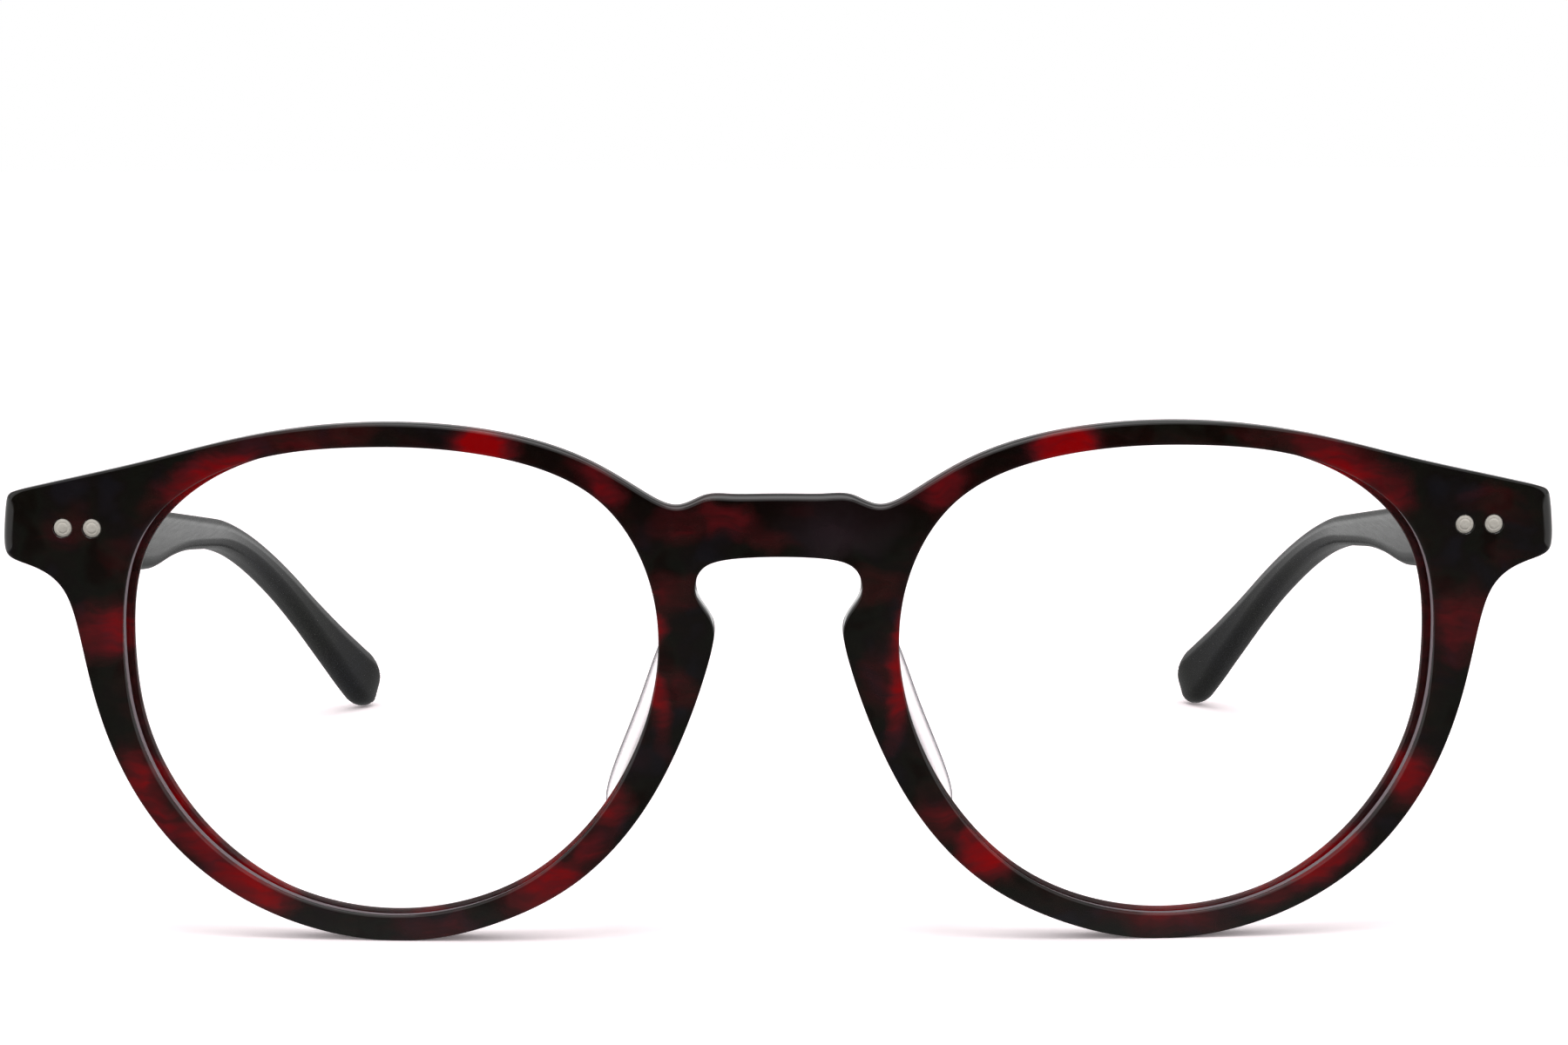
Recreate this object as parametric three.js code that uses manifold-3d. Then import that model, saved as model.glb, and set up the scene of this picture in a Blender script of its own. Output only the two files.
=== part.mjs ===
// Oval acetate eyeglasses: a full-rim front wrapped round a gentle cylinder, two clear
// lenses held in a groove, two clear nose pads, and two temples on five-knuckle hinges.
// Millimetres, +Z up, +X to the wearer's left, the front faces -Y, the temples run to +Y.
// The glasses stand on the two rim bottoms and the two temple tips, at Z = 0.
import * as THREE from 'three';
import { mergeVertices } from 'three/addons/utils/BufferGeometryUtils.js';
import Module from 'manifold-3d';

const wasm = await Module();
wasm.setup();

// ---------------------------------------------------------------- driving dimensions
const halfWidth = 69.2;         // centre line to the end of the front, along the wrap
const frontHeight = 46.05;      // rim bottom to rim top
const frontThickness = 3.5;
const wrapRadius = 500;         // the front follows a vertical cylinder
const edgeRound = 0.35;         // eased edges of the acetate
const sliceStep = 7;            // widest flat strip along the wrap

const rimNose = 3.685;          // rim widths, from the outline to the lens opening
const rimSide = 2.987;
const rimTop = 2.005;
const rimBottom = 2.315;
const noseRimShare = 0.1;       // nose side of the rim, as a share of the half width
const sideRimShare = 0.885;     // outer side of the rim, below the end piece

const grooveDepth = 0.8;        // lens groove in the wall of the opening
const grooveMouth = 1.5;
const grooveFloor = 0.9;
const grooveMiddle = 1.6;       // groove centre behind the front face
const lensRidge = 0.5;          // how far the lens edge reaches into the groove
const lensClear = 0.3;          // lens body to the wall of the opening
const lensThickness = 1.9;
const lensRidgeWidth = 0.5;
const lensDome = 1.6;           // how far the middle of the lens stands forward

const padHeight = 15.4;         // clear nose pads behind the inner rims
const padMiddleShare = 0.4538545; // middle of a pad, as a share of the front's height
const padReach = 5.8;           // how far a pad stands back from the rim
const padThickness = 2.6;
const padFlare = 2.9;           // how far the back of a pad leans away from the nose
const padInset = 0.2;           // pad face to the nose side of the rim
const padSeat = 0.1;            // film of glue between the rim and a pad

const endMiddleShare = 0.8;     // middle of the end piece, as a share of the front's height
const hingeBelowMiddle = 0.09;  // middle of the hinge below that
const hingeFromEnd = 3.4;       // hinge pin to the end of the front, along the wrap
const knuckleRadius = 1.3;
const knuckleHeight = 0.86;
const knuckleGap = 0.08;
const pinRadius = 0.6;
const pinBoreRadius = 0.66;
const screwHeadRadius = 1.05;
const screwHeadHeight = 0.45;
const screwSlotWidth = 0.3;
const screwSlotDepth = 0.22;
const pinToFront = 1.65;        // hinge pin to the back of the front
const pinToInnerFace = 0.4;     // hinge pin to the inner face of the temple, inboard
const leafThickness = 0.8;
const leafSeat = 0.05;          // leaf to the acetate under it
const leafHeight = 4.2;
const frontLeafReach = 6.3;     // from the pin towards the lens
const templeLeafReach = 9.8;    // from the pin along the temple
const knuckleClear = 0.12;      // knuckle to the other leaf
const notchRadius = 1.48;       // room in the temple for the knuckles
const pocketClear = 0.08;       // temple leaf to the ends of its pocket

const rivetRadius = 0.8;
const rivetClear = 0.06;
const rivetFlush = 0.04;        // rivet ends below the faces they hold
const frontRivetFromEnd = [8.3, 5.65];    // the two rivets seen on the front face
const rivetBelowMiddle = 0.14;
const templeRivetAlong = [3.9, 7.7];      // the two rivets through each temple

const templeAboveHinge = 2.31;  // top edge of the temple above the hinge's middle
const templeLength = 130.2;     // seen from above, from the pin along the inner face
const templeStraight = 75.5;    // straight run of the inner face
const templeBend = 146;         // radius of the inward curve behind it
const dropStart = 76;           // where the top edge starts to turn down
const dropRadius = 84;
const templeEndGap = 0.3;       // temple end to the back of the front
const templeFrontThickness = 3.95;
const templeBendThickness = 3.5;
const templeTipThickness = 2.9;
const templeFrontCorner = 0.6;
const templeTipCorner = 1.1;
const templeStep = 4;           // spacing of the sections in the curved part
const tipRound = 4;             // length of the rounded end of the tip
const wireRadius = 0.6;         // steel core of a temple
const wireBoreRadius = 0.72;
const wireStart = 2.3;          // the core starts behind the knuckles
const wireTail = 16.9;          // and ends this far from the tip
const wireEndGap = 0.3;

const leanDegrees = 3.2;        // the temples converge to the back
const slopeDegrees = 8;         // and run down to the back
const dropDegrees = 30.2;       // slope of the tips

// Outline of one half of the front, from the middle of the bridge top over the rim, round the
// end and under the rim back to the middle of the bridge: shares of half width and of height.
const outlineShares = [
  [0.0216, 0.8632], [0.0607, 0.8615], [0.096, 0.8682], [0.1298, 0.8287], [0.174, 0.8682],
  [0.2458, 0.9377], [0.3459, 0.9842], [0.4627, 1.0033], [0.5778, 0.9991], [0.6945, 0.9732],
  [0.8085, 0.9254], [0.9117, 0.8913], [0.9803, 0.868], [1.0005, 0.8633], [0.9995, 0.8033],
  [1.002, 0.7451], [0.9815, 0.732], [0.9468, 0.7172], [0.9139, 0.6793], [0.8987, 0.5887],
  [0.8817, 0.4547], [0.8449, 0.3075], [0.7812, 0.171], [0.6945, 0.0732], [0.5923, 0.0124],
  [0.4739, -0.0096], [0.3623, 0.0295], [0.2531, 0.1091], [0.1689, 0.2509], [0.1165, 0.4136],
  [0.0874, 0.5477], [0.0788, 0.6091], [0.0898, 0.6396], [0.1073, 0.6724], [0.1055, 0.7109],
  [0.0884, 0.7401], [0.0284, 0.7471],
];
// Lens opening: shares of its width and height from its centre.
const openingShares = [
  [0.5059, 0.0467], [0.495, 0.3271], [0.2859, 0.4822], [0.0456, 0.504], [-0.1672, 0.4969],
  [-0.4123, 0.4196], [-0.5145, 0.1683], [-0.4907, -0.0632], [-0.4169, -0.2572],
  [-0.2734, -0.4356], [-0.0526, -0.516], [0.1744, -0.4845], [0.3608, -0.3537], [0.4758, -0.1564],
];
// Depth of the temple below its top edge: [share of its length, share of its depth at the hinge].
const templeDepth = 5.7;
const templeDepthShares = [
  [0, 1], [0.09, 1.035], [0.18, 1.055], [0.27, 1.065], [0.33, 1.03], [0.4, 0.81], [0.46, 0.675],
  [0.54, 0.605], [0.61, 0.57], [0.69, 0.555], [0.77, 0.6], [0.85, 0.7], [0.92, 0.91],
  [0.97, 1.12], [1, 1.17],
];
// Depth of the core in the temple: it passes under the rivets, then follows the middle.
const coreDepthShares = [[0, 0.74], [0.08, 0.74], [0.2, 0.66], [0.42, 0.5], [1, 0.5]];

// Sizes that follow from those above.
const openingStart = halfWidth * noseRimShare + rimNose;
const openingEnd = halfWidth * sideRimShare - rimSide;
const openingWidth = openingEnd - openingStart;
const openingHeight = frontHeight - rimTop - rimBottom;
const openingCentreAcross = (openingStart + openingEnd) / 2;
const openingCentreUp = rimBottom + openingHeight / 2;
const padMiddle = padMiddleShare * frontHeight;
const endMiddle = endMiddleShare * frontHeight;
const hingeUp = endMiddle - hingeBelowMiddle;
const hingeAcross = halfWidth - hingeFromEnd;
const frontRivetUp = endMiddle - rivetBelowMiddle;
const frontRivetAcross = frontRivetFromEnd.map((gap) => halfWidth - gap);
const wireLength = templeLength - wireStart - wireTail;

// ---------------------------------------------------------------- helpers
const radians = (degrees) => degrees * Math.PI / 180;

// Closed uniform cubic spline round a list of [x, y] points.
function splineLoop(points, steps) {
  const n = points.length;
  const loop = [];
  for (let i = 0; i < n; i += 1) {
    for (let k = 0; k < steps; k += 1) {
      const f = k / steps;
      const weights = [
        (1 - f) ** 3 / 6, (3 * f ** 3 - 6 * f ** 2 + 4) / 6,
        (-3 * f ** 3 + 3 * f ** 2 + 3 * f + 1) / 6, f ** 3 / 6,
      ];
      const at = [0, 0];
      weights.forEach((w, j) => {
        const p = points[(i + j + n - 1) % n];
        at[0] += w * p[0];
        at[1] += w * p[1];
      });
      loop.push(at);
    }
  }
  return loop;
}

// Smooth value of a table [position, value] at u, with a cubic between its rows.
function tableAt(table, u) {
  const last = table.length - 1;
  let i = 0;
  while (i < last - 1 && u > table[i + 1][0]) i += 1;
  const slope = (j) => {
    const a = Math.max(j - 1, 0);
    const b = Math.min(j + 1, last);
    return (table[b][1] - table[a][1]) / (table[b][0] - table[a][0]);
  };
  const h = table[i + 1][0] - table[i][0];
  const f = Math.min(Math.max((u - table[i][0]) / h, 0), 1);
  return (2 * f ** 3 - 3 * f ** 2 + 1) * table[i][1] + (f ** 3 - 2 * f ** 2 + f) * h * slope(i)
    + (-2 * f ** 3 + 3 * f ** 2) * table[i + 1][1] + (f ** 3 - f ** 2) * h * slope(i + 1);
}

// Moves a closed loop by a distance along its own normals; more than zero is outwards.
function offsetLoop(loop, distance) {
  const n = loop.length;
  let area = 0;
  loop.forEach((p, i) => {
    const q = loop[(i + 1) % n];
    area += p[0] * q[1] - q[0] * p[1];
  });
  const side = area > 0 ? distance : -distance;
  return loop.map((p, i) => {
    const a = loop[(i + n - 1) % n];
    const b = loop[(i + 1) % n];
    const length = Math.hypot(b[0] - a[0], b[1] - a[1]);
    return [p[0] + side * (b[1] - a[1]) / length, p[1] - side * (b[0] - a[0]) / length];
  });
}

function geometryOf(vertices, triangles) {
  const geometry = new THREE.BufferGeometry();
  geometry.setAttribute('position', new THREE.Float32BufferAttribute(vertices.flat(), 3));
  geometry.setIndex(triangles.flat());
  return geometry;
}

// Joins rings of equal length into a closed skin; the ends are closed by the given caps.
function ringSkin(rings, triangles, base, flip) {
  const n = rings[0].length;
  for (let r = 0; r + 1 < rings.length; r += 1) {
    for (let i = 0; i < n; i += 1) {
      const j = (i + 1) % n;
      const a = base + r * n + i;
      const b = base + r * n + j;
      const c = base + (r + 1) * n + i;
      const d = base + (r + 1) * n + j;
      if (flip) triangles.push([a, b, d], [a, d, c]);
      else triangles.push([a, d, b], [a, c, d]);
    }
  }
}

// Solid between two flat caps, with a ladder of [inset, depth] rings for the outer loop and
// another for each hole. Flat coordinates are (across, back, up).
function layeredSolid(outer, outerLadder, holes, holeLadder) {
  const vertices = [];
  const triangles = [];
  const starts = [];
  const loops = [outer, ...holes];
  loops.forEach((loop, index) => {
    const ladder = index === 0 ? outerLadder : holeLadder;
    const rings = ladder.map(([shift, depth]) => offsetLoop(loop, shift).map((p) => [p[0], depth, p[1]]));
    starts.push(vertices.length);
    ringSkin(rings, triangles, vertices.length, true);
    rings.forEach((ring) => vertices.push(...ring));
  });
  const capPoints = (level) => loops.map((loop, index) => {
    const ladder = index === 0 ? outerLadder : holeLadder;
    const start = starts[index] + (level === 0 ? 0 : (ladder.length - 1) * loop.length);
    return loop.map((p, i) => start + i);
  });
  const flat = (id) => new THREE.Vector2(vertices[id][0], vertices[id][2]);
  [0, 1].forEach((level) => {
    const ids = capPoints(level);
    const faces = THREE.ShapeUtils.triangulateShape(ids[0].map(flat), ids.slice(1).map((l) => l.map(flat)));
    const all = ids.flat();
    faces.forEach(([a, b, c]) => {
      const pa = flat(all[a]);
      const pb = flat(all[b]);
      const pc = flat(all[c]);
      const turn = (pb.x - pa.x) * (pc.y - pa.y) - (pc.x - pa.x) * (pb.y - pa.y);
      const front = level === 0;
      if ((turn > 0) === front) triangles.push([all[a], all[b], all[c]]);
      else triangles.push([all[a], all[c], all[b]]);
    });
  });
  return geometryOf(vertices, triangles);
}

function solidOf(geometry) {
  const bare = geometry.clone();
  bare.deleteAttribute('normal');
  bare.deleteAttribute('uv');
  const merged = mergeVertices(bare);
  const mesh = new wasm.Mesh({
    numProp: 3,
    vertProperties: Float32Array.from(merged.attributes.position.array),
    triVerts: Uint32Array.from(merged.index.array),
  });
  mesh.merge();
  return new wasm.Manifold(mesh);
}

function geometryFrom(solid) {
  const mesh = solid.getMesh();
  const geometry = new THREE.BufferGeometry();
  const points = [];
  for (let i = 0; i < mesh.vertProperties.length; i += mesh.numProp) {
    points.push(mesh.vertProperties[i], mesh.vertProperties[i + 1], mesh.vertProperties[i + 2]);
  }
  geometry.setAttribute('position', new THREE.Float32BufferAttribute(points, 3));
  geometry.setIndex(Array.from(mesh.triVerts));
  return geometry;
}

function cutFrom(body, ...tools) {
  return geometryFrom(tools.reduce((left, tool) => left.subtract(solidOf(tool)), solidOf(body)));
}

function joined(...bodies) {
  return geometryFrom(bodies.slice(1).reduce((sum, body) => sum.add(solidOf(body)), solidOf(bodies[0])));
}

// Splits the triangles at planes across X, so that the wrap bends them in narrow strips.
function slicedAcross(geometry, planes) {
  const source = geometry.attributes.position;
  const points = [];
  for (let i = 0; i < source.count; i += 1) points.push([source.getX(i), source.getY(i), source.getZ(i)]);
  const index = Array.from(geometry.index.array);
  let faces = [];
  for (let i = 0; i < index.length; i += 3) faces.push([index[i], index[i + 1], index[i + 2]]);
  planes.forEach((plane) => {
    const cuts = new Map();
    const near = edgeRound / 1000;
    const sideOf = (id) => {
      const gap = points[id][0] - plane;
      return Math.abs(gap) < near ? 0 : Math.sign(gap);
    };
    const cutPoint = (a, b) => {
      const [lo, hi] = a < b ? [a, b] : [b, a];
      const key = `${lo}_${hi}`;
      if (!cuts.has(key)) {
        const p = points[lo];
        const q = points[hi];
        const f = (plane - p[0]) / (q[0] - p[0]);
        cuts.set(key, points.length);
        points.push([plane, p[1] + f * (q[1] - p[1]), p[2] + f * (q[2] - p[2])]);
      }
      return cuts.get(key);
    };
    const next = [];
    faces.forEach((face) => {
      const sides = face.map(sideOf);
      if (!(sides.includes(1) && sides.includes(-1))) {
        next.push(face);
        return;
      }
      const onPlane = sides.indexOf(0);
      if (onPlane >= 0) {
        const [a, b, c] = [0, 1, 2].map((k) => face[(onPlane + k) % 3]);
        const m = cutPoint(b, c);
        next.push([a, b, m], [a, m, c]);
        return;
      }
      const lone = sides.findIndex((s) => sides.filter((t) => t === s).length === 1);
      const [a, b, c] = [0, 1, 2].map((k) => face[(lone + k) % 3]);
      const m = cutPoint(a, b);
      const n = cutPoint(a, c);
      next.push([a, m, n], [m, b, c], [m, c, n]);
    });
    faces = next;
  });
  return geometryOf(points, faces);
}

// Wraps flat coordinates (across, back, up) round the cylinder of the front.
const wrapped = (across, back, up) => [
  (wrapRadius - back) * Math.sin(across / wrapRadius),
  wrapRadius - (wrapRadius - back) * Math.cos(across / wrapRadius),
  up,
];

function wrapGeometry(geometry) {
  const position = geometry.attributes.position;
  for (let i = 0; i < position.count; i += 1) {
    position.setXYZ(i, ...wrapped(position.getX(i), position.getY(i), position.getZ(i)));
  }
  return geometry;
}

// A rod between two points, with flat ends.
function rod(from, to, radius, sides) {
  const a = new THREE.Vector3(...from);
  const b = new THREE.Vector3(...to);
  const geometry = new THREE.CylinderGeometry(radius, radius, a.distanceTo(b), sides);
  const turn = new THREE.Quaternion().setFromUnitVectors(
    new THREE.Vector3(0, 1, 0), b.clone().sub(a).normalize());
  geometry.applyQuaternion(turn);
  geometry.translate((a.x + b.x) / 2, (a.y + b.y) / 2, (a.z + b.z) / 2);
  return geometry;
}

// A block given by its low and high corners.
function block(low, high) {
  const geometry = new THREE.BoxGeometry(high[0] - low[0], high[1] - low[1], high[2] - low[2]);
  geometry.translate((low[0] + high[0]) / 2, (low[1] + high[1]) / 2, (low[2] + high[2]) / 2);
  return geometry;
}

// Closed sweep of equal sections, with a fan over each end.
function sweep(sections) {
  const n = sections[0].length;
  const vertices = sections.flat();
  const triangles = [];
  ringSkin(sections, triangles, 0, false);
  const last = (sections.length - 1) * n;
  for (let i = 1; i + 1 < n; i += 1) {
    triangles.push([0, i, i + 1]);
    triangles.push([last, last + i + 1, last + i]);
  }
  return geometryOf(vertices, triangles);
}

// ---------------------------------------------------------------- materials
const looks = {
  tortoise: { color: '#2a0909', roughness: 0.12, metalness: 0 },
  temple: { color: '#1b1b1c', roughness: 0.18, metalness: 0 },
  lens: { color: '#f4f7f8', roughness: 0.02, metalness: 0, transparent: true, opacity: 0.2 },
  pad: { color: '#eef2f3', roughness: 0.1, metalness: 0, transparent: true, opacity: 0.45 },
  steel: { color: '#b8b2aa', roughness: 0.25, metalness: 1 },
};
const finish = Object.fromEntries(
  Object.entries(looks).map(([name, look]) => [name, new THREE.MeshStandardMaterial(look)]));

function piece(name, geometry, material) {
  const bare = geometry.index ? geometry : mergeVertices(geometry);
  bare.computeVertexNormals();
  const mesh = new THREE.Mesh(bare, finish[material]);
  mesh.name = name;
  return mesh;
}

// ---------------------------------------------------------------- the front
const halfOutline = outlineShares.map(([x, z]) => [x * halfWidth, z * frontHeight]);
const outlinePoints = [...halfOutline, ...halfOutline.map(([x, z]) => [-x, z]).reverse()];
const outline = splineLoop(outlinePoints, 2);

const openingPoints = openingShares.map(([x, z]) => [
  openingCentreAcross + x * openingWidth, openingCentreUp + z * openingHeight]);
const openingLeft = splineLoop(openingPoints, 3);
const openingRight = openingLeft.map(([x, z]) => [-x, z]).reverse();

const outerLadder = [
  [-edgeRound, 0], [0, edgeRound], [0, frontThickness - edgeRound], [-edgeRound, frontThickness]];
const openingLadder = [
  [edgeRound, 0], [0, edgeRound], [0, grooveMiddle - grooveMouth / 2],
  [grooveDepth, grooveMiddle - grooveFloor / 2], [grooveDepth, grooveMiddle + grooveFloor / 2],
  [0, grooveMiddle + grooveMouth / 2], [0, frontThickness - edgeRound], [edgeRound, frontThickness]];
const flatFront = layeredSolid(outline, outerLadder, [openingLeft, openingRight], openingLadder);

const rivetHoles = [-1, 1].flatMap((side) => frontRivetAcross.map((across) => rod(
  [side * across, -frontThickness, frontRivetUp], [side * across, 2 * frontThickness, frontRivetUp],
  rivetRadius + rivetClear, 14)));
const planes = [];
const sliceCount = Math.ceil(halfWidth / sliceStep);
for (let i = 1 - sliceCount; i < sliceCount; i += 1) planes.push(i * halfWidth / sliceCount);
const front = wrapGeometry(slicedAcross(cutFrom(flatFront, ...rivetHoles), planes));

// ---------------------------------------------------------------- lens
// Rings from the rim to the middle, domed forwards, with a ridge that sits in the groove.
function lensGeometry() {
  const body = offsetLoop(openingLeft, -lensClear);
  const ridge = offsetLoop(openingLeft, lensRidge);
  const faceFront = grooveMiddle - lensThickness / 2;
  const faceBack = grooveMiddle + lensThickness / 2;
  const shares = [1, 0.84, 0.66, 0.45, 0.22];
  const domed = (share, depth) => body.map(([x, z]) => [
    openingCentreAcross + (x - openingCentreAcross) * share,
    depth - lensDome * (1 - share ** 2),
    openingCentreUp + (z - openingCentreUp) * share]);
  const edge = (loop, depth) => loop.map(([x, z]) => [x, depth, z]);
  const rings = [
    ...shares.map((share) => domed(share, faceFront)).reverse(),
    edge(ridge, grooveMiddle - lensRidgeWidth / 2),
    edge(ridge, grooveMiddle + lensRidgeWidth / 2),
    ...shares.map((share) => domed(share, faceBack)),
  ];
  const n = body.length;
  const vertices = rings.flat();
  const triangles = [];
  ringSkin(rings, triangles, 0, false);
  const middleFront = vertices.length;
  vertices.push([openingCentreAcross, faceFront - lensDome, openingCentreUp]);
  const middleBack = vertices.length;
  vertices.push([openingCentreAcross, faceBack - lensDome, openingCentreUp]);
  const last = (rings.length - 1) * n;
  for (let i = 0; i < n; i += 1) {
    const j = (i + 1) % n;
    triangles.push([middleFront, i, j], [middleBack, last + j, last + i]);
  }
  return wrapGeometry(geometryOf(vertices, triangles));
}

// ---------------------------------------------------------------- nose pad
// Sections stacked upwards along the nose side of the rim, leaning away from the nose.
const noseSide = (up) => {
  let best = halfWidth;
  outline.forEach((p, i) => {
    const q = outline[(i + 1) % outline.length];
    if (p[0] > 0 && q[0] > 0 && (p[1] - up) * (q[1] - up) <= 0 && p[1] !== q[1]) {
      best = Math.min(best, p[0] + (q[0] - p[0]) * (up - p[1]) / (q[1] - p[1]));
    }
  });
  return best;
};

function padGeometry() {
  const levels = 9;
  // [share of thickness across, share of reach back, share of flare]
  const sectionShares = [
    [0, 0, 0], [0, 0.5, 0.42], [0, 0.84, 0.86], [0.3, 1, 1.05], [0.72, 1, 1.02], [1, 0.85, 0.9],
    [1, 0.45, 0.42], [1, 0, 0.1]];
  const sections = [];
  for (let k = 0; k <= levels; k += 1) {
    const share = k / levels;
    const up = padMiddle + padHeight * (share - 0.5);
    const swell = (1 - Math.abs(2 * share - 1) ** 3.2) ** 0.5;
    const plump = 0.35 + 0.65 * swell;
    const start = noseSide(up) + padInset + padThickness * (1 - plump) / 2;
    sections.push(sectionShares.map(([thick, back, flare]) => [
      start + thick * padThickness * plump + flare * padFlare * (0.3 + 0.7 * swell),
      frontThickness + padSeat + back * padReach * (0.25 + 0.75 * swell),
      up]));
  }
  return wrapGeometry(sweep(sections));
}

// ---------------------------------------------------------------- hinge and temple
const hingeTurn = hingeAcross / wrapRadius;
const lean = radians(leanDegrees);
const slope = radians(slopeDegrees);
const drop = radians(dropDegrees);

// Hinge frame: origin on the pin at the middle height, x outwards along the back of the front,
// y backwards. The temple frame shares the origin and is turned by the temple's own lean.
const pinSpot = wrapped(hingeAcross, frontThickness + pinToFront, hingeUp);

const hingeHeight = 5 * knuckleHeight + 4 * knuckleGap;
const knuckleLow = (index) => index * (knuckleHeight + knuckleGap) - hingeHeight / 2;
const knuckleHigh = (index) => knuckleLow(index) + knuckleHeight;
const upright = (low, high, radius, sides) => rod([0, 0, low], [0, 0, high], radius, sides);
const bore = () => upright(-hingeHeight, hingeHeight, pinBoreRadius, 14);

// Front leaf: a plate on the back of the front with knuckles 0, 2 and 4.
const frontLeafLow = leafSeat - pinToFront;
const frontLeafHigh = frontLeafLow + leafThickness;
function frontLeafGeometry() {
  const plate = block([-frontLeafReach, frontLeafLow, -leafHeight / 2],
    [-knuckleRadius / 2, frontLeafHigh, leafHeight / 2]);
  const knuckles = [0, 2, 4].flatMap((index) => [
    upright(knuckleLow(index), knuckleHigh(index), knuckleRadius, 18),
    block([-knuckleRadius, frontLeafLow, knuckleLow(index)], [0, 0, knuckleHigh(index)])]);
  const rooms = [1, 3].map((index) => upright(
    knuckleLow(index) - knuckleGap, knuckleHigh(index) + knuckleGap, knuckleRadius + knuckleClear, 18));
  const ends = [-1, 1].map((side) => block(
    [-knuckleRadius - knuckleClear, frontLeafLow - leafThickness, side > 0 ? knuckleHigh(4) : -hingeHeight],
    [knuckleRadius, frontLeafHigh + leafThickness, side > 0 ? hingeHeight : knuckleLow(0)]));
  const holes = frontRivetAcross.map((across) => rod(
    [across - hingeAcross, frontLeafLow - leafThickness, frontRivetUp - hingeUp],
    [across - hingeAcross, frontLeafHigh + leafSeat, frontRivetUp - hingeUp],
    rivetRadius + rivetClear, 14));
  return cutFrom(joined(cutFrom(plate, ...rooms), ...knuckles), ...ends, bore(), ...holes);
}

// Sloping block of the temple frame: it drops with the temple as it runs back.
function slopingBlock(low, high) {
  const geometry = block(low, high);
  const position = geometry.attributes.position;
  for (let i = 0; i < position.count; i += 1) {
    position.setZ(i, position.getZ(i) - position.getY(i) * Math.tan(slope));
  }
  return geometry;
}

// Temple leaf: a plate let into the inner face with knuckles 1 and 3.
const templeLeafLow = leafSeat - pinToInnerFace;
const templeLeafHigh = templeLeafLow + leafThickness;
const rivetDrop = (along) => -along * Math.tan(slope);
function templeLeafGeometry() {
  const start = knuckleRadius + knuckleClear;
  const plate = slopingBlock([templeLeafLow, start, -leafHeight / 2],
    [templeLeafHigh, templeLeafReach, leafHeight / 2]);
  const knuckles = [1, 3].flatMap((index) => [
    upright(knuckleLow(index), knuckleHigh(index), knuckleRadius, 18),
    block([templeLeafLow, 0, knuckleLow(index)], [templeLeafHigh, start + knuckleClear, knuckleHigh(index)])]);
  const holes = templeRivetAlong.map((along) => rod(
    [templeLeafLow - leafThickness, along, rivetDrop(along)],
    [templeLeafHigh + leafThickness, along, rivetDrop(along)], rivetRadius + rivetClear, 14));
  return cutFrom(joined(plate, ...knuckles), bore(), ...holes);
}

function screwGeometry() {
  const top = hingeHeight / 2 + knuckleGap;
  const pin = upright(-hingeHeight / 2, top + screwHeadHeight / 2, pinRadius, 14);
  const head = upright(top, top + screwHeadHeight, screwHeadRadius, 18);
  const slot = block([-2 * screwHeadRadius, -screwSlotWidth / 2, top + screwHeadHeight - screwSlotDepth],
    [2 * screwHeadRadius, screwSlotWidth / 2, top + 2 * screwHeadHeight]);
  return cutFrom(joined(pin, head), slot);
}

// The temple's path seen from above, in its own frame: straight, then curved inwards.
function pathAt(u) {
  const curve = Math.max(u - templeStraight, 0) / templeBend;
  const straight = Math.min(u, templeStraight);
  return {
    across: -pinToInnerFace - templeBend * (1 - Math.cos(curve)),
    along: straight + templeBend * Math.sin(curve),
    turn: curve,
  };
}

// Height and slope of the top edge at u, measured from the middle of the hinge.
const dropEnd = dropStart + (drop - slope) * dropRadius;
function topAt(u) {
  const angle = Math.min(Math.max(slope + (u - dropStart) / dropRadius, slope), drop);
  const straight = Math.min(u, dropStart) * Math.tan(slope);
  const inTurn = dropRadius * Math.log(Math.cos(slope) / Math.cos(angle));
  const after = Math.max(u - dropEnd, 0) * Math.tan(drop);
  return { up: templeAboveHinge - straight - inTurn - after, angle };
}

const thicknessAt = (u) => (u < templeStraight
  ? templeFrontThickness + (templeBendThickness - templeFrontThickness) * u / templeStraight
  : templeBendThickness + (templeTipThickness - templeBendThickness)
    * (u - templeStraight) / (templeLength - templeStraight));
const depthAt = (u) => templeDepth * tableAt(templeDepthShares, u / templeLength);

// Point of the temple at u, a depth below its top edge and a distance out from its inner face.
function templePoint(u, below, out) {
  const top = topAt(u);
  const path = pathAt(u - below * Math.sin(top.angle));
  return [
    path.across + out * Math.cos(path.turn),
    path.along + out * Math.sin(path.turn),
    top.up - below * Math.cos(top.angle)];
}

function templeSection(u) {
  const depth = depthAt(u);
  const thickness = thicknessAt(u);
  const end = Math.max((u - (templeLength - tipRound)) / tipRound, 0);
  const fade = Math.sqrt(Math.max(1 - end ** 2.4, 0.02));
  const share = Math.min(Math.max(u / templeLength, 0), 1);
  const corner = (templeFrontCorner + (templeTipCorner - templeFrontCorner) * share) * fade;
  const high = depth / 2 * (1 - fade);
  const low = depth / 2 * (1 + fade);
  const inner = thickness / 2 * (1 - fade);
  const outer = thickness / 2 * (1 + fade);
  const ease = corner * (1 - Math.SQRT1_2);
  const around = [
    [high, inner + corner], [high + ease, inner + ease], [high + corner, inner],
    [low - corner, inner], [low - ease, inner + ease], [low, inner + corner],
    [low, outer - corner], [low - ease, outer - ease], [low - corner, outer],
    [high + corner, outer], [high + ease, outer - ease], [high, outer - corner]];
  return around.map(([below, out]) => templePoint(u, below, out));
}

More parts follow.
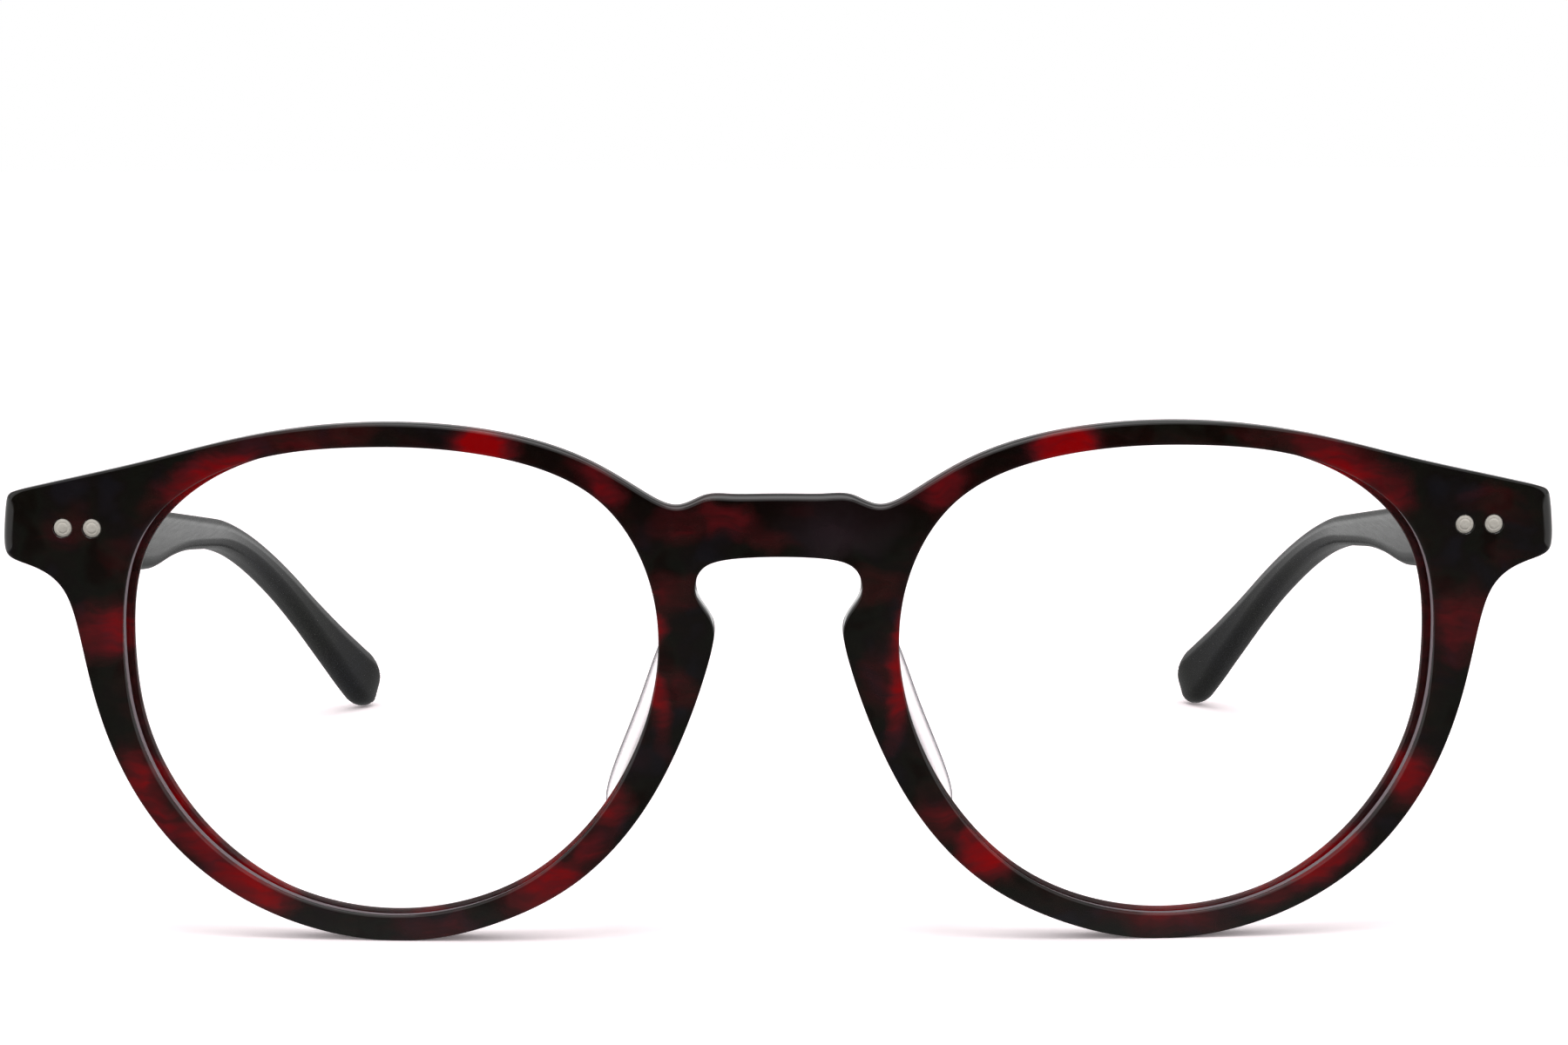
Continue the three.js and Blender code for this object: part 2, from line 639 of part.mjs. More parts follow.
function templeStations() {
  const stations = [-2 * pinToFront];
  const straightRuns = 12;
  for (let i = 0; i <= straightRuns; i += 1) stations.push(templeStraight * i / straightRuns);
  const curved = templeLength - tipRound - templeStraight;
  const steps = Math.ceil(curved / templeStep);
  for (let i = 1; i <= steps; i += 1) stations.push(templeStraight + curved * i / steps);
  [0.4, 0.7, 0.88, 0.97, 1].forEach((share) => stations.push(templeLength - tipRound * (1 - share)));
  return stations;
}

const coreDepthAt = (u) => depthAt(u) * tableAt(coreDepthShares, u / templeLength);

// Round rod along the inside of the temple.
function coreGeometry(from, to, radius) {
  const sides = 8;
  const steps = Math.ceil((to - from) / (2 * templeStep));
  const sections = [];
  for (let i = 0; i <= steps; i += 1) {
    const u = from + (to - from) * i / steps;
    const ring = [];
    for (let k = 0; k < sides; k += 1) {
      const turn = 2 * Math.PI * k / sides;
      ring.push(templePoint(u, coreDepthAt(u) + radius * Math.cos(turn),
        thicknessAt(u) / 2 + radius * Math.sin(turn)));
    }
    sections.push(ring);
  }
  return sweep(sections);
}
function templeGeometry() {
  const body = sweep(templeStations().map(templeSection));
  // Everything forward of the mitre, which lies parallel to the back of the front.
  const mitre = block([-3 * notchRadius - templeFrontThickness, -4 * pinToFront, -2 * templeDepth],
    [4 * templeFrontThickness, templeEndGap - pinToFront, 2 * templeDepth]);
  mitre.rotateZ(hingeTurn - lean);
  const reach = 2 * templeDepth;
  const notch = [
    upright(-reach, reach, notchRadius, 18),
    block([-2 * notchRadius, -4 * pinToFront, -reach], [notchRadius, 0, reach])];
  const pocket = slopingBlock(
    [-2 * templeFrontThickness, 0, -leafHeight / 2 - pocketClear],
    [templeLeafHigh + leafSeat, templeLeafReach + pocketClear, leafHeight / 2 + pocketClear]);
  const holes = templeRivetAlong.map((along) => rod(
    [-templeFrontThickness, along, rivetDrop(along)],
    [2 * templeFrontThickness, along, rivetDrop(along)], rivetRadius + rivetClear, 14));
  const coreBore = coreGeometry(-2 * wireStart, wireStart + wireLength + wireEndGap, wireBoreRadius);
  return cutFrom(body, mitre, ...notch, pocket, ...holes, coreBore);
}

// ---------------------------------------------------------------- assembly
function rivetRod(from, to) {
  return rod(from, to, rivetRadius, 14);
}

// One side, drawn for the wearer's left (+X); the right side is its mirror image.
function sideParts(side) {
  const group = new THREE.Group();
  group.add(piece(`lens_${side}`, lensGeometry(), 'lens'));
  group.add(piece(`nose_pad_${side}`, padGeometry(), 'pad'));
  frontRivetAcross.forEach((across, i) => {
    const turn = across / wrapRadius;
    const rivet = piece(`front_rivet_${side}_${i + 1}`,
      rivetRod([0, rivetFlush, 0], [0, frontThickness + leafSeat + leafThickness - rivetFlush, 0]), 'steel');
    rivet.position.set(...wrapped(across, 0, frontRivetUp));
    rivet.rotation.z = turn;
    group.add(rivet);
  });
  const hinge = new THREE.Group();
  hinge.position.set(...pinSpot);
  hinge.rotation.z = hingeTurn;
  hinge.add(piece(`front_hinge_leaf_${side}`, frontLeafGeometry(), 'steel'));
  hinge.add(piece(`hinge_screw_${side}`, screwGeometry(), 'steel'));
  const arm = new THREE.Group();
  arm.position.set(...pinSpot);
  arm.rotation.z = lean;
  arm.add(piece(`temple_${side}`, templeGeometry(), 'temple'));
  arm.add(piece(`temple_core_${side}`,
    coreGeometry(wireStart, wireStart + wireLength, wireRadius), 'steel'));
  arm.add(piece(`temple_hinge_leaf_${side}`, templeLeafGeometry(), 'steel'));
  templeRivetAlong.forEach((along, i) => {
    const drop0 = rivetDrop(along);
    arm.add(piece(`temple_rivet_${side}_${i + 1}`, rivetRod([templeLeafLow + rivetFlush, along, drop0],
      [thicknessAt(along) - pinToInnerFace - rivetFlush, along, drop0]), 'steel'));
  });
  group.add(hinge, arm);
  if (side === 'right') group.scale.x = -1;
  return group;
}

const glasses = new THREE.Group();
glasses.name = 'oval_eyeglasses';
glasses.add(piece('front_frame', front, 'tortoise'), sideParts('left'), sideParts('right'));
glasses.updateMatrixWorld(true);

// The origin goes to the middle of the footprint, on the table.
const bounds = new THREE.Box3().setFromObject(glasses, true);
glasses.position.set(0, -(bounds.min.y + bounds.max.y) / 2, -bounds.min.z);
glasses.updateMatrixWorld(true);

export default glasses;
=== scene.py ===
# Oval acetate eyeglasses on a white table: mottled black and red front, black temples, clear
# lenses and nose pads, riveted five-knuckle hinges. Sizes below are in millimetres, in the
# flat coordinates of the front: across (+X, to the wearer's left), back (+Y) and up (+Z).
import math
from functools import partial

import bmesh
import bpy
import numpy as np
from mathutils import Euler, Matrix, Vector
from mathutils.geometry import delaunay_2d_cdt


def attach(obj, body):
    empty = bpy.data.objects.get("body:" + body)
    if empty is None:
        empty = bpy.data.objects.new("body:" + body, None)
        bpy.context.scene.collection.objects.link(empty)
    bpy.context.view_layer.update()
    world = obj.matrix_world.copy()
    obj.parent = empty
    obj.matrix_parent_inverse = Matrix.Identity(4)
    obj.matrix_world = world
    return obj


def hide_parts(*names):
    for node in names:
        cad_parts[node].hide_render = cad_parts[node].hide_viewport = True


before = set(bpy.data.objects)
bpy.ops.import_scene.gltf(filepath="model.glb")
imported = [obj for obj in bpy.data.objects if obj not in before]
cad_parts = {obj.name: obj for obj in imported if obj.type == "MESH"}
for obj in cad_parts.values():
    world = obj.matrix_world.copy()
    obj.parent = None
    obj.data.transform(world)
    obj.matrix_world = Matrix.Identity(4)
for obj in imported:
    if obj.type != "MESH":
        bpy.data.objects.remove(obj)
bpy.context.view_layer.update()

MM = 0.001
PLACE = Vector((0, -68.546084, -0.026863))      # the table frame, from the frame of the front

# ------------------------------------------------------------------ sizes of the real object
HALF_WIDTH, FRONT_HEIGHT, FRONT_THICK, WRAP = 69.2, 46.05, 3.5, 500.0
OPENING = (47.65, 41.73)
OPENING_CENTRE = (34.43, 23.18)
FACE_EASE, END_EASE, END_FROM = 0.15, 1.15, 66
BRIDGE_FALL, BRIDGE_FROM, BRIDGE_WIDE, BRIDGE_EDGE = 0.2, 37.5, 7.0, 10.5
LIP_EASE, BACK_EASE, LEDGE, LEDGE_BELOW, LEDGE_EASE = 0.24, 0.5, 0.6, 0.5, 0.2
GROOVE_DEPTH, GROOVE_MOUTH, GROOVE_FLOOR, GROOVE_MIDDLE, UNDERCUT = 0.8, 1.5, 0.9, 1.6, 0.15
LENS_THICK, LENS_GRIP, LENS_DOME, LENS_ROOM, RIDGE_PRESS = 1.9, 0.1, 1.6, 0.04, 0.02
PAD_TOP, PAD_BOTTOM, PAD_REACH, PAD_THICK, PAD_FLARE, PAD_INSET, PAD_SEAT = (
    29.4, 11.2, 5.8, 2.6, 2.95, 0.2, 0.1)
HINGE_ACROSS, HINGE_UP, PIN_BACK, PIN_INNER = 65.8, 36.75, 1.65, 0.4
KNUCKLE, KNUCKLE_HIGH, KNUCKLE_GAP, BORE, PIN = 1.3, 0.86, 0.08, 0.66, 0.6
LEAF_THICK, LEAF_SEAT, LEAF_HIGH, FRONT_LEAF, TEMPLE_LEAF = 0.8, 0.05, 4.2, 6.3, 9.8
LEAF_EASE, LEAF_CORNER, WEB_EASE, WEB_ROOM, WEB_PRESS = 0.1, 0.55, 0.08, 0.04, 0.02
HEAD_RADIUS, HEAD_HIGH, SLOT_WIDE, SLOT_DEEP, PIN_EASE = 1.05, 0.45, 0.3, 0.22, 0.1
KNUCKLE_CLEAR, NOTCH, POCKET_CLEAR = 0.12, 1.48, 0.08
RIVET, RIVET_HOLE, RIVET_FLUSH, RIVET_UP = 0.8, 0.86, 0.04, 36.7
FRONT_HOLE_EASE, LEAF_HOLE_EASE = 0.05, 0.04
FRONT_RIVETS, TEMPLE_RIVETS = (60.9, 63.55), (3.9, 7.7)
TEMPLE_TOP, TEMPLE_LONG, TEMPLE_STRAIGHT, TEMPLE_BEND = 2.31, 130.2, 75.5, 146.0
DROP_START, DROP_RADIUS, END_GAP = 76.0, 84.0, 0.3
THICK_FRONT, THICK_BEND, THICK_TIP = 3.95, 3.5, 2.9
CORNER_FRONT, CORNER_TIP, TIP_ROUND, TEMPLE_DEEP = 0.6, 1.42, 4.2, 5.7
WIRE, WIRE_START, WIRE_LONG = 0.6, 2.3, 111.0
LEAN, SLOPE, DROP = (math.radians(d) for d in (3.2, 8.0, 30.2))
SHEET_BACK, SHEET_REACH = -66, 100     # the clouds run right through the front
LIP_WIDE, LEDGE_LIGHT = 2.6, 1.3       # where painted light shows through, and how much more
TABLE_HALF = 2.5                       # metres

# How finely the meshes are cut.
FRONT_GRID, LEAF_GRID, LENS_ROWS, PAD_ROWS, TEMPLE_ROWS, TIP_ROWS, WIRE_ROWS = (
    0.8, 0.6, 24, 41, 96, 14, 60)
CORNER_STEPS, WIDE_STEPS, THICK_STEPS = 5, 8, 3

# Half of the front's outline, shares of half the width and of the height.
OUTLINE_SHARES = [
    (.0216, .8632), (.0607, .8615), (.096, .8682), (.1298, .8287), (.174, .8682), (.2458, .9377),
    (.3459, .9842), (.4627, 1.0033), (.5778, .9991), (.6945, .9732), (.8085, .9254),
    (.9117, .8913), (.9803, .868), (.9965, .862), (.9995, .8033), (1.002, .7451),
    (.9815, .732), (.9468, .7172), (.9139, .6793), (.8987, .5887), (.8817, .4547),
    (.8449, .3075), (.7812, .171), (.6945, .0732), (.5923, .0124), (.4739, -.0096),
    (.3623, .0295), (.2531, .1091), (.1689, .2509), (.1165, .4136), (.0874, .5477),
    (.0788, .6091), (.0898, .6396), (.1073, .6724), (.1055, .7109), (.0884, .7401),
    (.0284, .7471)]
# Lens opening, shares of its width and height from its centre.
OPENING_SHARES = [
    (.5059, .0467), (.495, .3271), (.2859, .4822), (.0456, .504), (-.1672, .4969),
    (-.4123, .4196), (-.5145, .1683), (-.4907, -.0632), (-.4169, -.2572), (-.2734, -.4356),
    (-.0526, -.516), (.1744, -.4845), (.3608, -.3537), (.4758, -.1564)]
# Depth of a temple along its length, and of its core: shares of the length and of the depth.
DEPTH_SHARES = [
    (0, 1), (.09, 1.035), (.18, 1.055), (.27, 1.065), (.33, 1.03), (.4, .81), (.46, .675),
    (.54, .605), (.61, .57), (.69, .555), (.77, .6), (.85, .7), (.92, .91), (.97, 1.12),
    (1, 1.17)]
CORE_SHARES = [(0, .74), (.08, .74), (.2, .66), (.42, .5), (1, .5)]


# ------------------------------------------------------------------ camera
def placed(name, data):
    """A new object, linked to the scene."""
    obj = bpy.data.objects.new(name, data)
    bpy.context.scene.collection.objects.link(obj)
    return obj


def make_camera():
    """The photograph's camera: 94 mm lens, 42 cm from the glasses, looking 6.5 degrees down."""
    yaw, pitch, roll = (math.radians(a) for a in (0.0706, 6.4527, -0.1649))
    ahead = Vector((math.sin(yaw) * math.cos(pitch), math.cos(yaw) * math.cos(pitch),
                    -math.sin(pitch)))
    level = Vector((math.cos(yaw), -math.sin(yaw), 0))
    rise = level.cross(ahead)
    right = level * math.cos(roll) + rise * math.sin(roll)
    up = rise * math.cos(roll) - level * math.sin(roll)
    data = bpy.data.cameras.new("photo_camera")
    data.sensor_width, data.lens = 36, 93.72
    data.clip_start, data.clip_end = 0.01, 20
    camera = placed("photo_camera", data)
    spot = Vector((0.056, -423.546, 77.585)) * MM
    turned = Matrix((right, up, -ahead)).transposed().to_4x4()
    camera.matrix_world = Matrix.Translation(spot) @ turned
    bpy.context.scene.camera = camera


make_camera()


# ------------------------------------------------------------------ nodes and colours
def colour(code):
    """sRGB hex to linear RGBA."""
    parts = [int(code[i:i + 2], 16) / 255 for i in (1, 3, 5)]
    return tuple(c / 12.92 if c <= .04045 else ((c + .055) / 1.055) ** 2.4 for c in parts) + (1,)


def add_node(tree, kind, inputs=(), stops=(), **settings):
    """Adds one node with its settings and colour stops, and sets or links its inputs, which
    are given by name, or in the order in which the node has them."""
    node = tree.nodes.new(kind)
    for name, value in settings.items():
        setattr(node, name, value)
    if stops:
        points = node.color_ramp.elements
        while len(points) < len(stops):
            points.new(0.5)
        for point, (place, code) in zip(points, stops):
            point.position, point.color = place, colour(code)
    for key, value in inputs.items() if isinstance(inputs, dict) else enumerate(inputs):
        if isinstance(value, bpy.types.Node):
            value = value.outputs[0]
        if isinstance(value, bpy.types.NodeSocket):
            tree.links.new(value, node.inputs[key])
        else:
            node.inputs[key].default_value = value
    return node


def new_material(name):
    """An empty material, and the function that adds a node to it."""
    material = bpy.data.materials.new(name)
    material.use_nodes = True
    material.node_tree.nodes.clear()
    return material, partial(add_node, material.node_tree)


def object_mm(add):
    """Object coordinates in millimetres."""
    place = add("ShaderNodeTexCoord").outputs["Object"]
    return add("ShaderNodeVectorMath", {0: place, "Scale": 1 / MM}, operation="SCALE")


def soft_spot(add, place, across, up, long, high, turn=0):
    """1 in the middle of an ellipse that runs right through the front, 0 from its edge on."""
    spot = add("ShaderNodeMapping", {
        "Vector": place, "Location": (across, SHEET_BACK, up),
        "Rotation": (0, -math.radians(turn), 0), "Scale": (long, SHEET_REACH, high)},
        vector_type="TEXTURE")
    return add("ShaderNodeTexGradient", (spot,), gradient_type="SPHERICAL").outputs["Fac"]


# ------------------------------------------------------------------ materials
# Clouds of red in the sheet that the front is cut from:
# across, up, half length, half height, turn in degrees, strength.
CLOUDS = [
    (-25.8, 44.3, 5.2, 4.2, -30, 1.0), (-50.0, 41.8, 10.5, 3.5, 33, .66),
    (-42.5, 44.9, 7, 3.0, 8, .42), (-37.6, 45.4, 4.5, 2.2, 0, .4),
    (-15.6, 41.0, 5.4, 3.0, -45, .62), (-8.6, 37.2, 4.6, 3.2, 10, .52),
    (-4.8, 37.8, 5.8, 3.2, -10, .66), (-1.2, 36.2, 4.5, 2.6, -20, .45),
    (-60.4, 27.6, 5.4, 5.0, 10, .68), (-56.7, 14.4, 3.6, 5.8, 34, .7),
    (-54.4, 11.4, 5.0, 3.6, -54, .68), (-51.4, 8.2, 6.0, 3.2, -44, .62),
    (-47.2, 4.9, 7.2, 3.4, -28, .78),
    (-30.0, 1.2, 7.0, 2.8, 0, .45), (-20.0, 5.0, 7.4, 4.0, 30, .78),
    (-16.8, 8.2, 4.0, 3.2, 42, .58),
    (-14.9, 12.0, 3.6, 4.6, -15, .56), (-10.8, 23.0, 1.9, 10.5, 6, .64),
    (-10.9, 27.4, 1.8, 5, 0, .66), (-8.4, 22.6, 3.2, 4.6, 10, .45),
    (-9.4, 31.4, 4.0, 3.8, 0, .42),
    (-62.6, 37.0, 5.4, 4.6, 25, .4), (-58.6, 34.6, 4.6, 3.4, 40, .28),
    (-64.8, 34.5, 3.4, 2.4, 0, .16),
    (25.3, 44.4, 5.0, 4.2, 28, 1.02), (14.2, 41.2, 6.0, 3.6, 42, .66),
    (17.0, 42.8, 4.0, 2.8, 35, .4), (42.0, 45.0, 5.6, 2.6, -5, .34),
    (49.8, 42.6, 10.5, 3.9, -27, .65), (54.4, 39.8, 4.8, 3.6, -40, .5),
    (63.0, 38.3, 5.4, 3.8, -15, .4), (64.8, 33.6, 4.2, 3.2, 30, .3),
    (66.4, 38.2, 3.0, 2.6, 0, .26), (60.6, 28.0, 5.0, 6.2, 8, .62),
    (56.8, 13.7, 4.2, 5.0, -35, .65), (48.4, 6.7, 7.6, 3.2, 36, .66),
    (43.4, 4.2, 6.0, 2.6, 22, .45), (34.6, 1.6, 9.5, 3.4, 0, .5),
    (17.5, 7.3, 5.2, 4.0, -45, .8), (14.0, 10.9, 4.6, 3.4, -50, .56),
    (10.4, 23.5, 1.9, 11, -6, .72), (8.6, 23.5, 3.2, 5.6, -8, .4),
    (8.4, 31.6, 3.8, 3.4, 0, .42), (1.8, 38.6, 4.6, 2.4, 0, .24),
    (10.8, 39.4, 3.4, 2.4, 30, .4)]


def tortoise_acetate():
    """Cellulose acetate, cut from a block of fused black and clear red chips, then tumbled and
    buffed: a wet-looking face, soft-edged red clouds, painted lighter near the lens opening as
    if light came through the thin sheet there, and a faint waviness from the polishing wheel."""
    material, add = new_material("polished tortoise acetate")
    still = place = object_mm(add)
    # The chips melt into each other: their edges wander by about 1 mm.
    for scale, reach in ((.22, 3.4), (.9, .7)):
        noise = add("ShaderNodeTexNoise", {"Vector": place, "Scale": scale, "Detail": 1})
        centred = add("ShaderNodeVectorMath", (noise.outputs["Color"], (.5, .5, .5)),
                      operation="SUBTRACT")
        shift = add("ShaderNodeVectorMath", {0: centred, "Scale": reach}, operation="SCALE")
        place = add("ShaderNodeVectorMath", (place, shift), operation="ADD")
    # Thin maroon haze all over the sheet, in wisps about 6 mm long.
    wisps = add("ShaderNodeMapping", {
        "Vector": still, "Rotation": (0, math.radians(28), 0), "Scale": (.16, .3, .42)})
    haze = add("ShaderNodeTexNoise", {"Vector": wisps, "Scale": 1, "Detail": 2})
    cloud = add("ShaderNodeMapRange", (haze, .5, .78, 0, .28), interpolation_type="SMOOTHSTEP")
    for *ellipse, strength in CLOUDS:
        soft = add("ShaderNodeMapRange", (soft_spot(add, place, *ellipse), 0, .85, 0, strength),
                   interpolation_type="SMOOTHSTEP")
        cloud = add("ShaderNodeMath", (cloud, soft, .25), operation="SMOOTH_MAX")
    # Smoke inside the red: streaks about 3 mm long and 0.8 mm wide.
    streaks = add("ShaderNodeMapping", {
        "Vector": place, "Rotation": (0, math.radians(35), 0), "Scale": (.3, .3, 1.3)})
    smoke = add("ShaderNodeTexNoise", {"Vector": streaks, "Scale": 1, "Detail": 2})
    smoke = add("ShaderNodeMapRange", (smoke, .3, .7, .8, 1.12))
    red = add("ShaderNodeMath", (cloud, smoke), operation="MULTIPLY")
    # Painted light: the clouds are painted lighter near the thin lip at the opening, as if light
    # came through, and the ledge behind the lens, thinner still, is painted a little red all
    # over.
    painted_glow = add("ShaderNodeAttribute", attribute_name="painted_glow").outputs["Fac"]
    painted_glow_gain = add("ShaderNodeMath", (painted_glow, .42, .86), operation="MULTIPLY_ADD")
    through = add("ShaderNodeMapRange", (painted_glow, 1, LEDGE_LIGHT, 0, .16))
    red = add("ShaderNodeMath", (red, painted_glow_gain, through), operation="MULTIPLY_ADD")
    hue = add("ShaderNodeValToRGB", (red,), [
        (0, "#020202"), (.2, "#100504"), (.42, "#310b0d"), (.62, "#520e13"),
        (.82, "#75090f"), (1, "#8c0206")])
    # The black is not one black: brown, green and violet smudges about 4 mm wide.
    smudge = add("ShaderNodeTexNoise", {"Vector": place, "Scale": .26, "Detail": 2})
    black = add("ShaderNodeValToRGB", (smudge,), [
        (.32, "#030604"), (.45, "#0a120e"), (.56, "#0a0e0d"), (.68, "#0f1317")])
    # Violet smoke over the nose.
    veil = soft_spot(add, place, 5, 37.2, 6, 3.6)
    black = add("ShaderNodeMix", {"Factor": veil, "A": black, "B": colour("#352b31")},
                data_type="RGBA").outputs["Result"]
    # The black is deepest between the upper rims, and the red hides it where it is strong.
    deep = add("ShaderNodeMapRange", (soft_spot(add, place, 0, 43.2, 42, 10), 0, .5, 1, .3),
               interpolation_type="SMOOTHSTEP")
    left = add("ShaderNodeMapRange", (red, .2, .9, 1, .15))
    left = add("ShaderNodeMath", (left, deep), operation="MULTIPLY")
    base = add("ShaderNodeMix", {"Factor": left, "A": hue, "B": black}, data_type="RGBA",
               blend_type="ADD").outputs["Result"]
    wave = add("ShaderNodeTexNoise", {"Vector": still, "Scale": .35, "Detail": 1})
    relief = add("ShaderNodeBump", {"Height": wave, "Strength": .08, "Distance": .02 * MM})
    wear = add("ShaderNodeTexNoise", {"Vector": still, "Scale": 1.6, "Detail": 4})
    rough = add("ShaderNodeMapRange", (wear, .35, .75, .05, .13))
    add("ShaderNodeOutputMaterial", (add("ShaderNodeBsdfPrincipled", {
        "Base Color": base, "Roughness": rough, "IOR": 1.48, "Normal": relief}),))
    return material


def black_acetate():
    """Black cellulose acetate, milled and tumbled to a satin gloss: soft reflections, faint
    blue and olive casts, and hairlines along the length from wear."""
    material, add = new_material("satin black acetate")
    place = object_mm(add)
    cast = add("ShaderNodeTexNoise", {"Vector": place, "Scale": .07, "Detail": 2})
    base = add("ShaderNodeValToRGB", (cast,), [
        (.35, "#0a0c11"), (.5, "#0c0c0d"), (.65, "#0f100b")])
    # Hairlines about 0.2 mm apart, drawn wider than the real scratches so that they show.
    stretched = add("ShaderNodeMapping", {"Vector": place, "Scale": (3, .04, 3)})
    lines = add("ShaderNodeTexNoise", {
        "Vector": stretched, "Scale": 1.6, "Detail": 3, "Roughness": .6})
    rough = add("ShaderNodeMapRange", (lines, .3, .7, .22, .28))
    relief = add("ShaderNodeBump", {"Height": lines, "Strength": .03, "Distance": .01 * MM})
    add("ShaderNodeOutputMaterial", (add("ShaderNodeBsdfPrincipled", {
        "Base Color": base, "Roughness": rough, "IOR": 1.48, "Normal": relief}),))
    return material


def finish_clear(add, glass, tint, face_on=0):
    """Clear plastic lets the lamps through to what is behind it, and the light that comes back
    from there. What is seen face on can pass straight through too."""
    path = add("ShaderNodeLightPath").outputs
    mirror_ray = add("ShaderNodeMath", (path["Is Glossy Ray"], path["Is Transmission Ray"]),
                     operation="SUBTRACT")
    straight = path["Is Shadow Ray"]
    for other in (path["Is Diffuse Ray"], mirror_ray, face_on):
        straight = add("ShaderNodeMath", (straight, other), operation="MAXIMUM")
    window = add("ShaderNodeBsdfTransparent", (tint,))
    add("ShaderNodeOutputMaterial", (add("ShaderNodeMixShader", (straight, glass, window)),))


def lens_plastic():
    """Lens plastic, cast, hard coated and made free of reflections face on: almost invisible
    there, with a glint where it is seen aslant, and faint wiping marks in the coat."""
    material, add = new_material("coated lens plastic")
    smears = add("ShaderNodeTexNoise", {"Vector": object_mm(add), "Scale": .15, "Detail": 3})
    coat = add("ShaderNodeValToRGB", (smears,), [(.45, "#ffffff"), (.75, "#fdfefd")])
    glass = add("ShaderNodeBsdfPrincipled", {
        "Base Color": coat, "Roughness": 0.0, "IOR": 1.5, "Transmission Weight": 1.0,
        "Specular Tint": colour("#000000")})
    # The edge is ground to fit the groove, and frosted: a pale line at the rim.
    ground = add("ShaderNodeAttribute", attribute_name="ground").outputs["Fac"]
    frosted = add("ShaderNodeBsdfDiffuse", (colour("#a2949a"),))
    glass = add("ShaderNodeMixShader", (ground, glass, frosted))
    finish_clear(add, glass, colour("#fdfefe"))
    return material


def clear_acetate():
    """Clear cellulose acetate, milled and tumbled: water-clear inside, with a soft skin, and
    painted greyer where it is seen edge on: painted shade for its dark edge."""
    material, add = new_material("tumbled clear acetate")
    marks = add("ShaderNodeTexNoise", {"Vector": object_mm(add), "Scale": .7, "Detail": 3})
    rough = add("ShaderNodeMapRange", (marks, .4, .7, .12, .2))
    # Painted shade: the colour and the tint of what shows through go grey where the surface is
    # seen edge on.
    edge = add("ShaderNodeLayerWeight", {"Blend": .35}).outputs["Facing"]
    tint = add("ShaderNodeValToRGB", (edge,), [
        (.4, "#ffffff"), (.55, "#a6a6a6"), (.7, "#3c3c3d")])
    rim = add("ShaderNodeValToRGB", (edge,), [
        (.44, "#fdfcfc"), (.52, "#83888c"), (.72, "#3f4448")])
    face_on = add("ShaderNodeMapRange", (edge, .44, .55, .9, .7))
    finish_clear(add, add("ShaderNodeBsdfPrincipled", {
        "Base Color": tint, "Roughness": rough, "IOR": 1.48, "Transmission Weight": 1.0}),
        rim, face_on)
    return material


def metal(name, low, high, roughness, grain, stretch):
    """Metal with a grain: the stretch says which way the marks of its making run."""
    material, add = new_material(name)
    place = add("ShaderNodeMapping", {"Vector": object_mm(add), "Scale": stretch})
    marks = add("ShaderNodeTexNoise", {
        "Vector": place, "Scale": grain, "Detail": 4, "Roughness": .6})
    base = add("ShaderNodeValToRGB", (marks,), [(.3, low), (.7, high)])
    rough = add("ShaderNodeMapRange", (marks, .3, .7, roughness, roughness + .12))
    relief = add("ShaderNodeBump", {"Height": marks, "Strength": .3, "Distance": .01 * MM})
    add("ShaderNodeOutputMaterial", (add("ShaderNodeBsdfPrincipled", {
        "Base Color": base, "Metallic": 1.0, "Roughness": rough, "Normal": relief}),))
    return material


TORTOISE, BLACK, LENS, CLEAR = (
    tortoise_acetate(), black_acetate(), lens_plastic(), clear_acetate())
# Nickel silver leaf: stamped, then tumbled; a faint even grain along the leaf.
LEAF = metal("tumbled nickel silver", "#a9a49b", "#c4c0b8", .22, 1.2, (.6, .6, 2.2))
# Rivet ends: filed flush with the face, so matt, with fine marks of the file.
FILED = metal("filed nickel silver", "#e8e2d8", "#f8f4ec", .6, 2.6, (1, 1, 1.8))
# Screw and core wire: turned and drawn steel.
STEEL = metal("turned steel", "#8d8d8c", "#b4b4b3", .2, 3.0, (1, 1, 1))


# ------------------------------------------------------------------ curves and tables
def spline_loop(points, steps):
    """Closed uniform cubic spline round a list of points."""
    points = np.asarray(points, float)
    f = np.arange(steps) / steps
    weights = np.stack([(1 - f) ** 3 / 6, (3 * f ** 3 - 6 * f ** 2 + 4) / 6,
                        (-3 * f ** 3 + 3 * f ** 2 + 3 * f + 1) / 6, f ** 3 / 6])
    around = np.stack([np.roll(points, 1 - j, axis=0) for j in range(4)])
    return np.einsum("js,jnc->nsc", weights, around).reshape(-1, points.shape[1])


def table_at(table, u):
    """Smooth value of a table [place, value] at u, with a cubic between its rows."""
    places, values = np.array(table, float).T
    last = len(places) - 1
    i = int(min(max(np.searchsorted(places, u) - 1, 0), last - 1))

    def slope(j):
        a, b = max(j - 1, 0), min(j + 1, last)
        return (values[b] - values[a]) / (places[b] - places[a])

    h = places[i + 1] - places[i]
    f = min(max((u - places[i]) / h, 0), 1)
    return ((2 * f ** 3 - 3 * f ** 2 + 1) * values[i] + (f ** 3 - 2 * f ** 2 + f) * h * slope(i)
            + (3 * f ** 2 - 2 * f ** 3) * values[i + 1] + (f ** 3 - f ** 2) * h * slope(i + 1))


def normals_of(loop):
    """Unit normals of a closed loop that runs counterclockwise, pointing out of it."""
    along = np.roll(loop, -1, axis=0) - np.roll(loop, 1, axis=0)
    along /= np.linalg.norm(along, axis=1, keepdims=True)
    return np.stack([along[:, 1], -along[:, 0]], axis=1)


def wrapped(points):
    """Flat coordinates (across, back, up) bent round the cylinder of the front."""
    across, back, up = np.asarray(points, float).T
    reach = WRAP - back
    return np.stack([reach * np.sin(across / WRAP), WRAP - reach * np.cos(across / WRAP), up], 1)


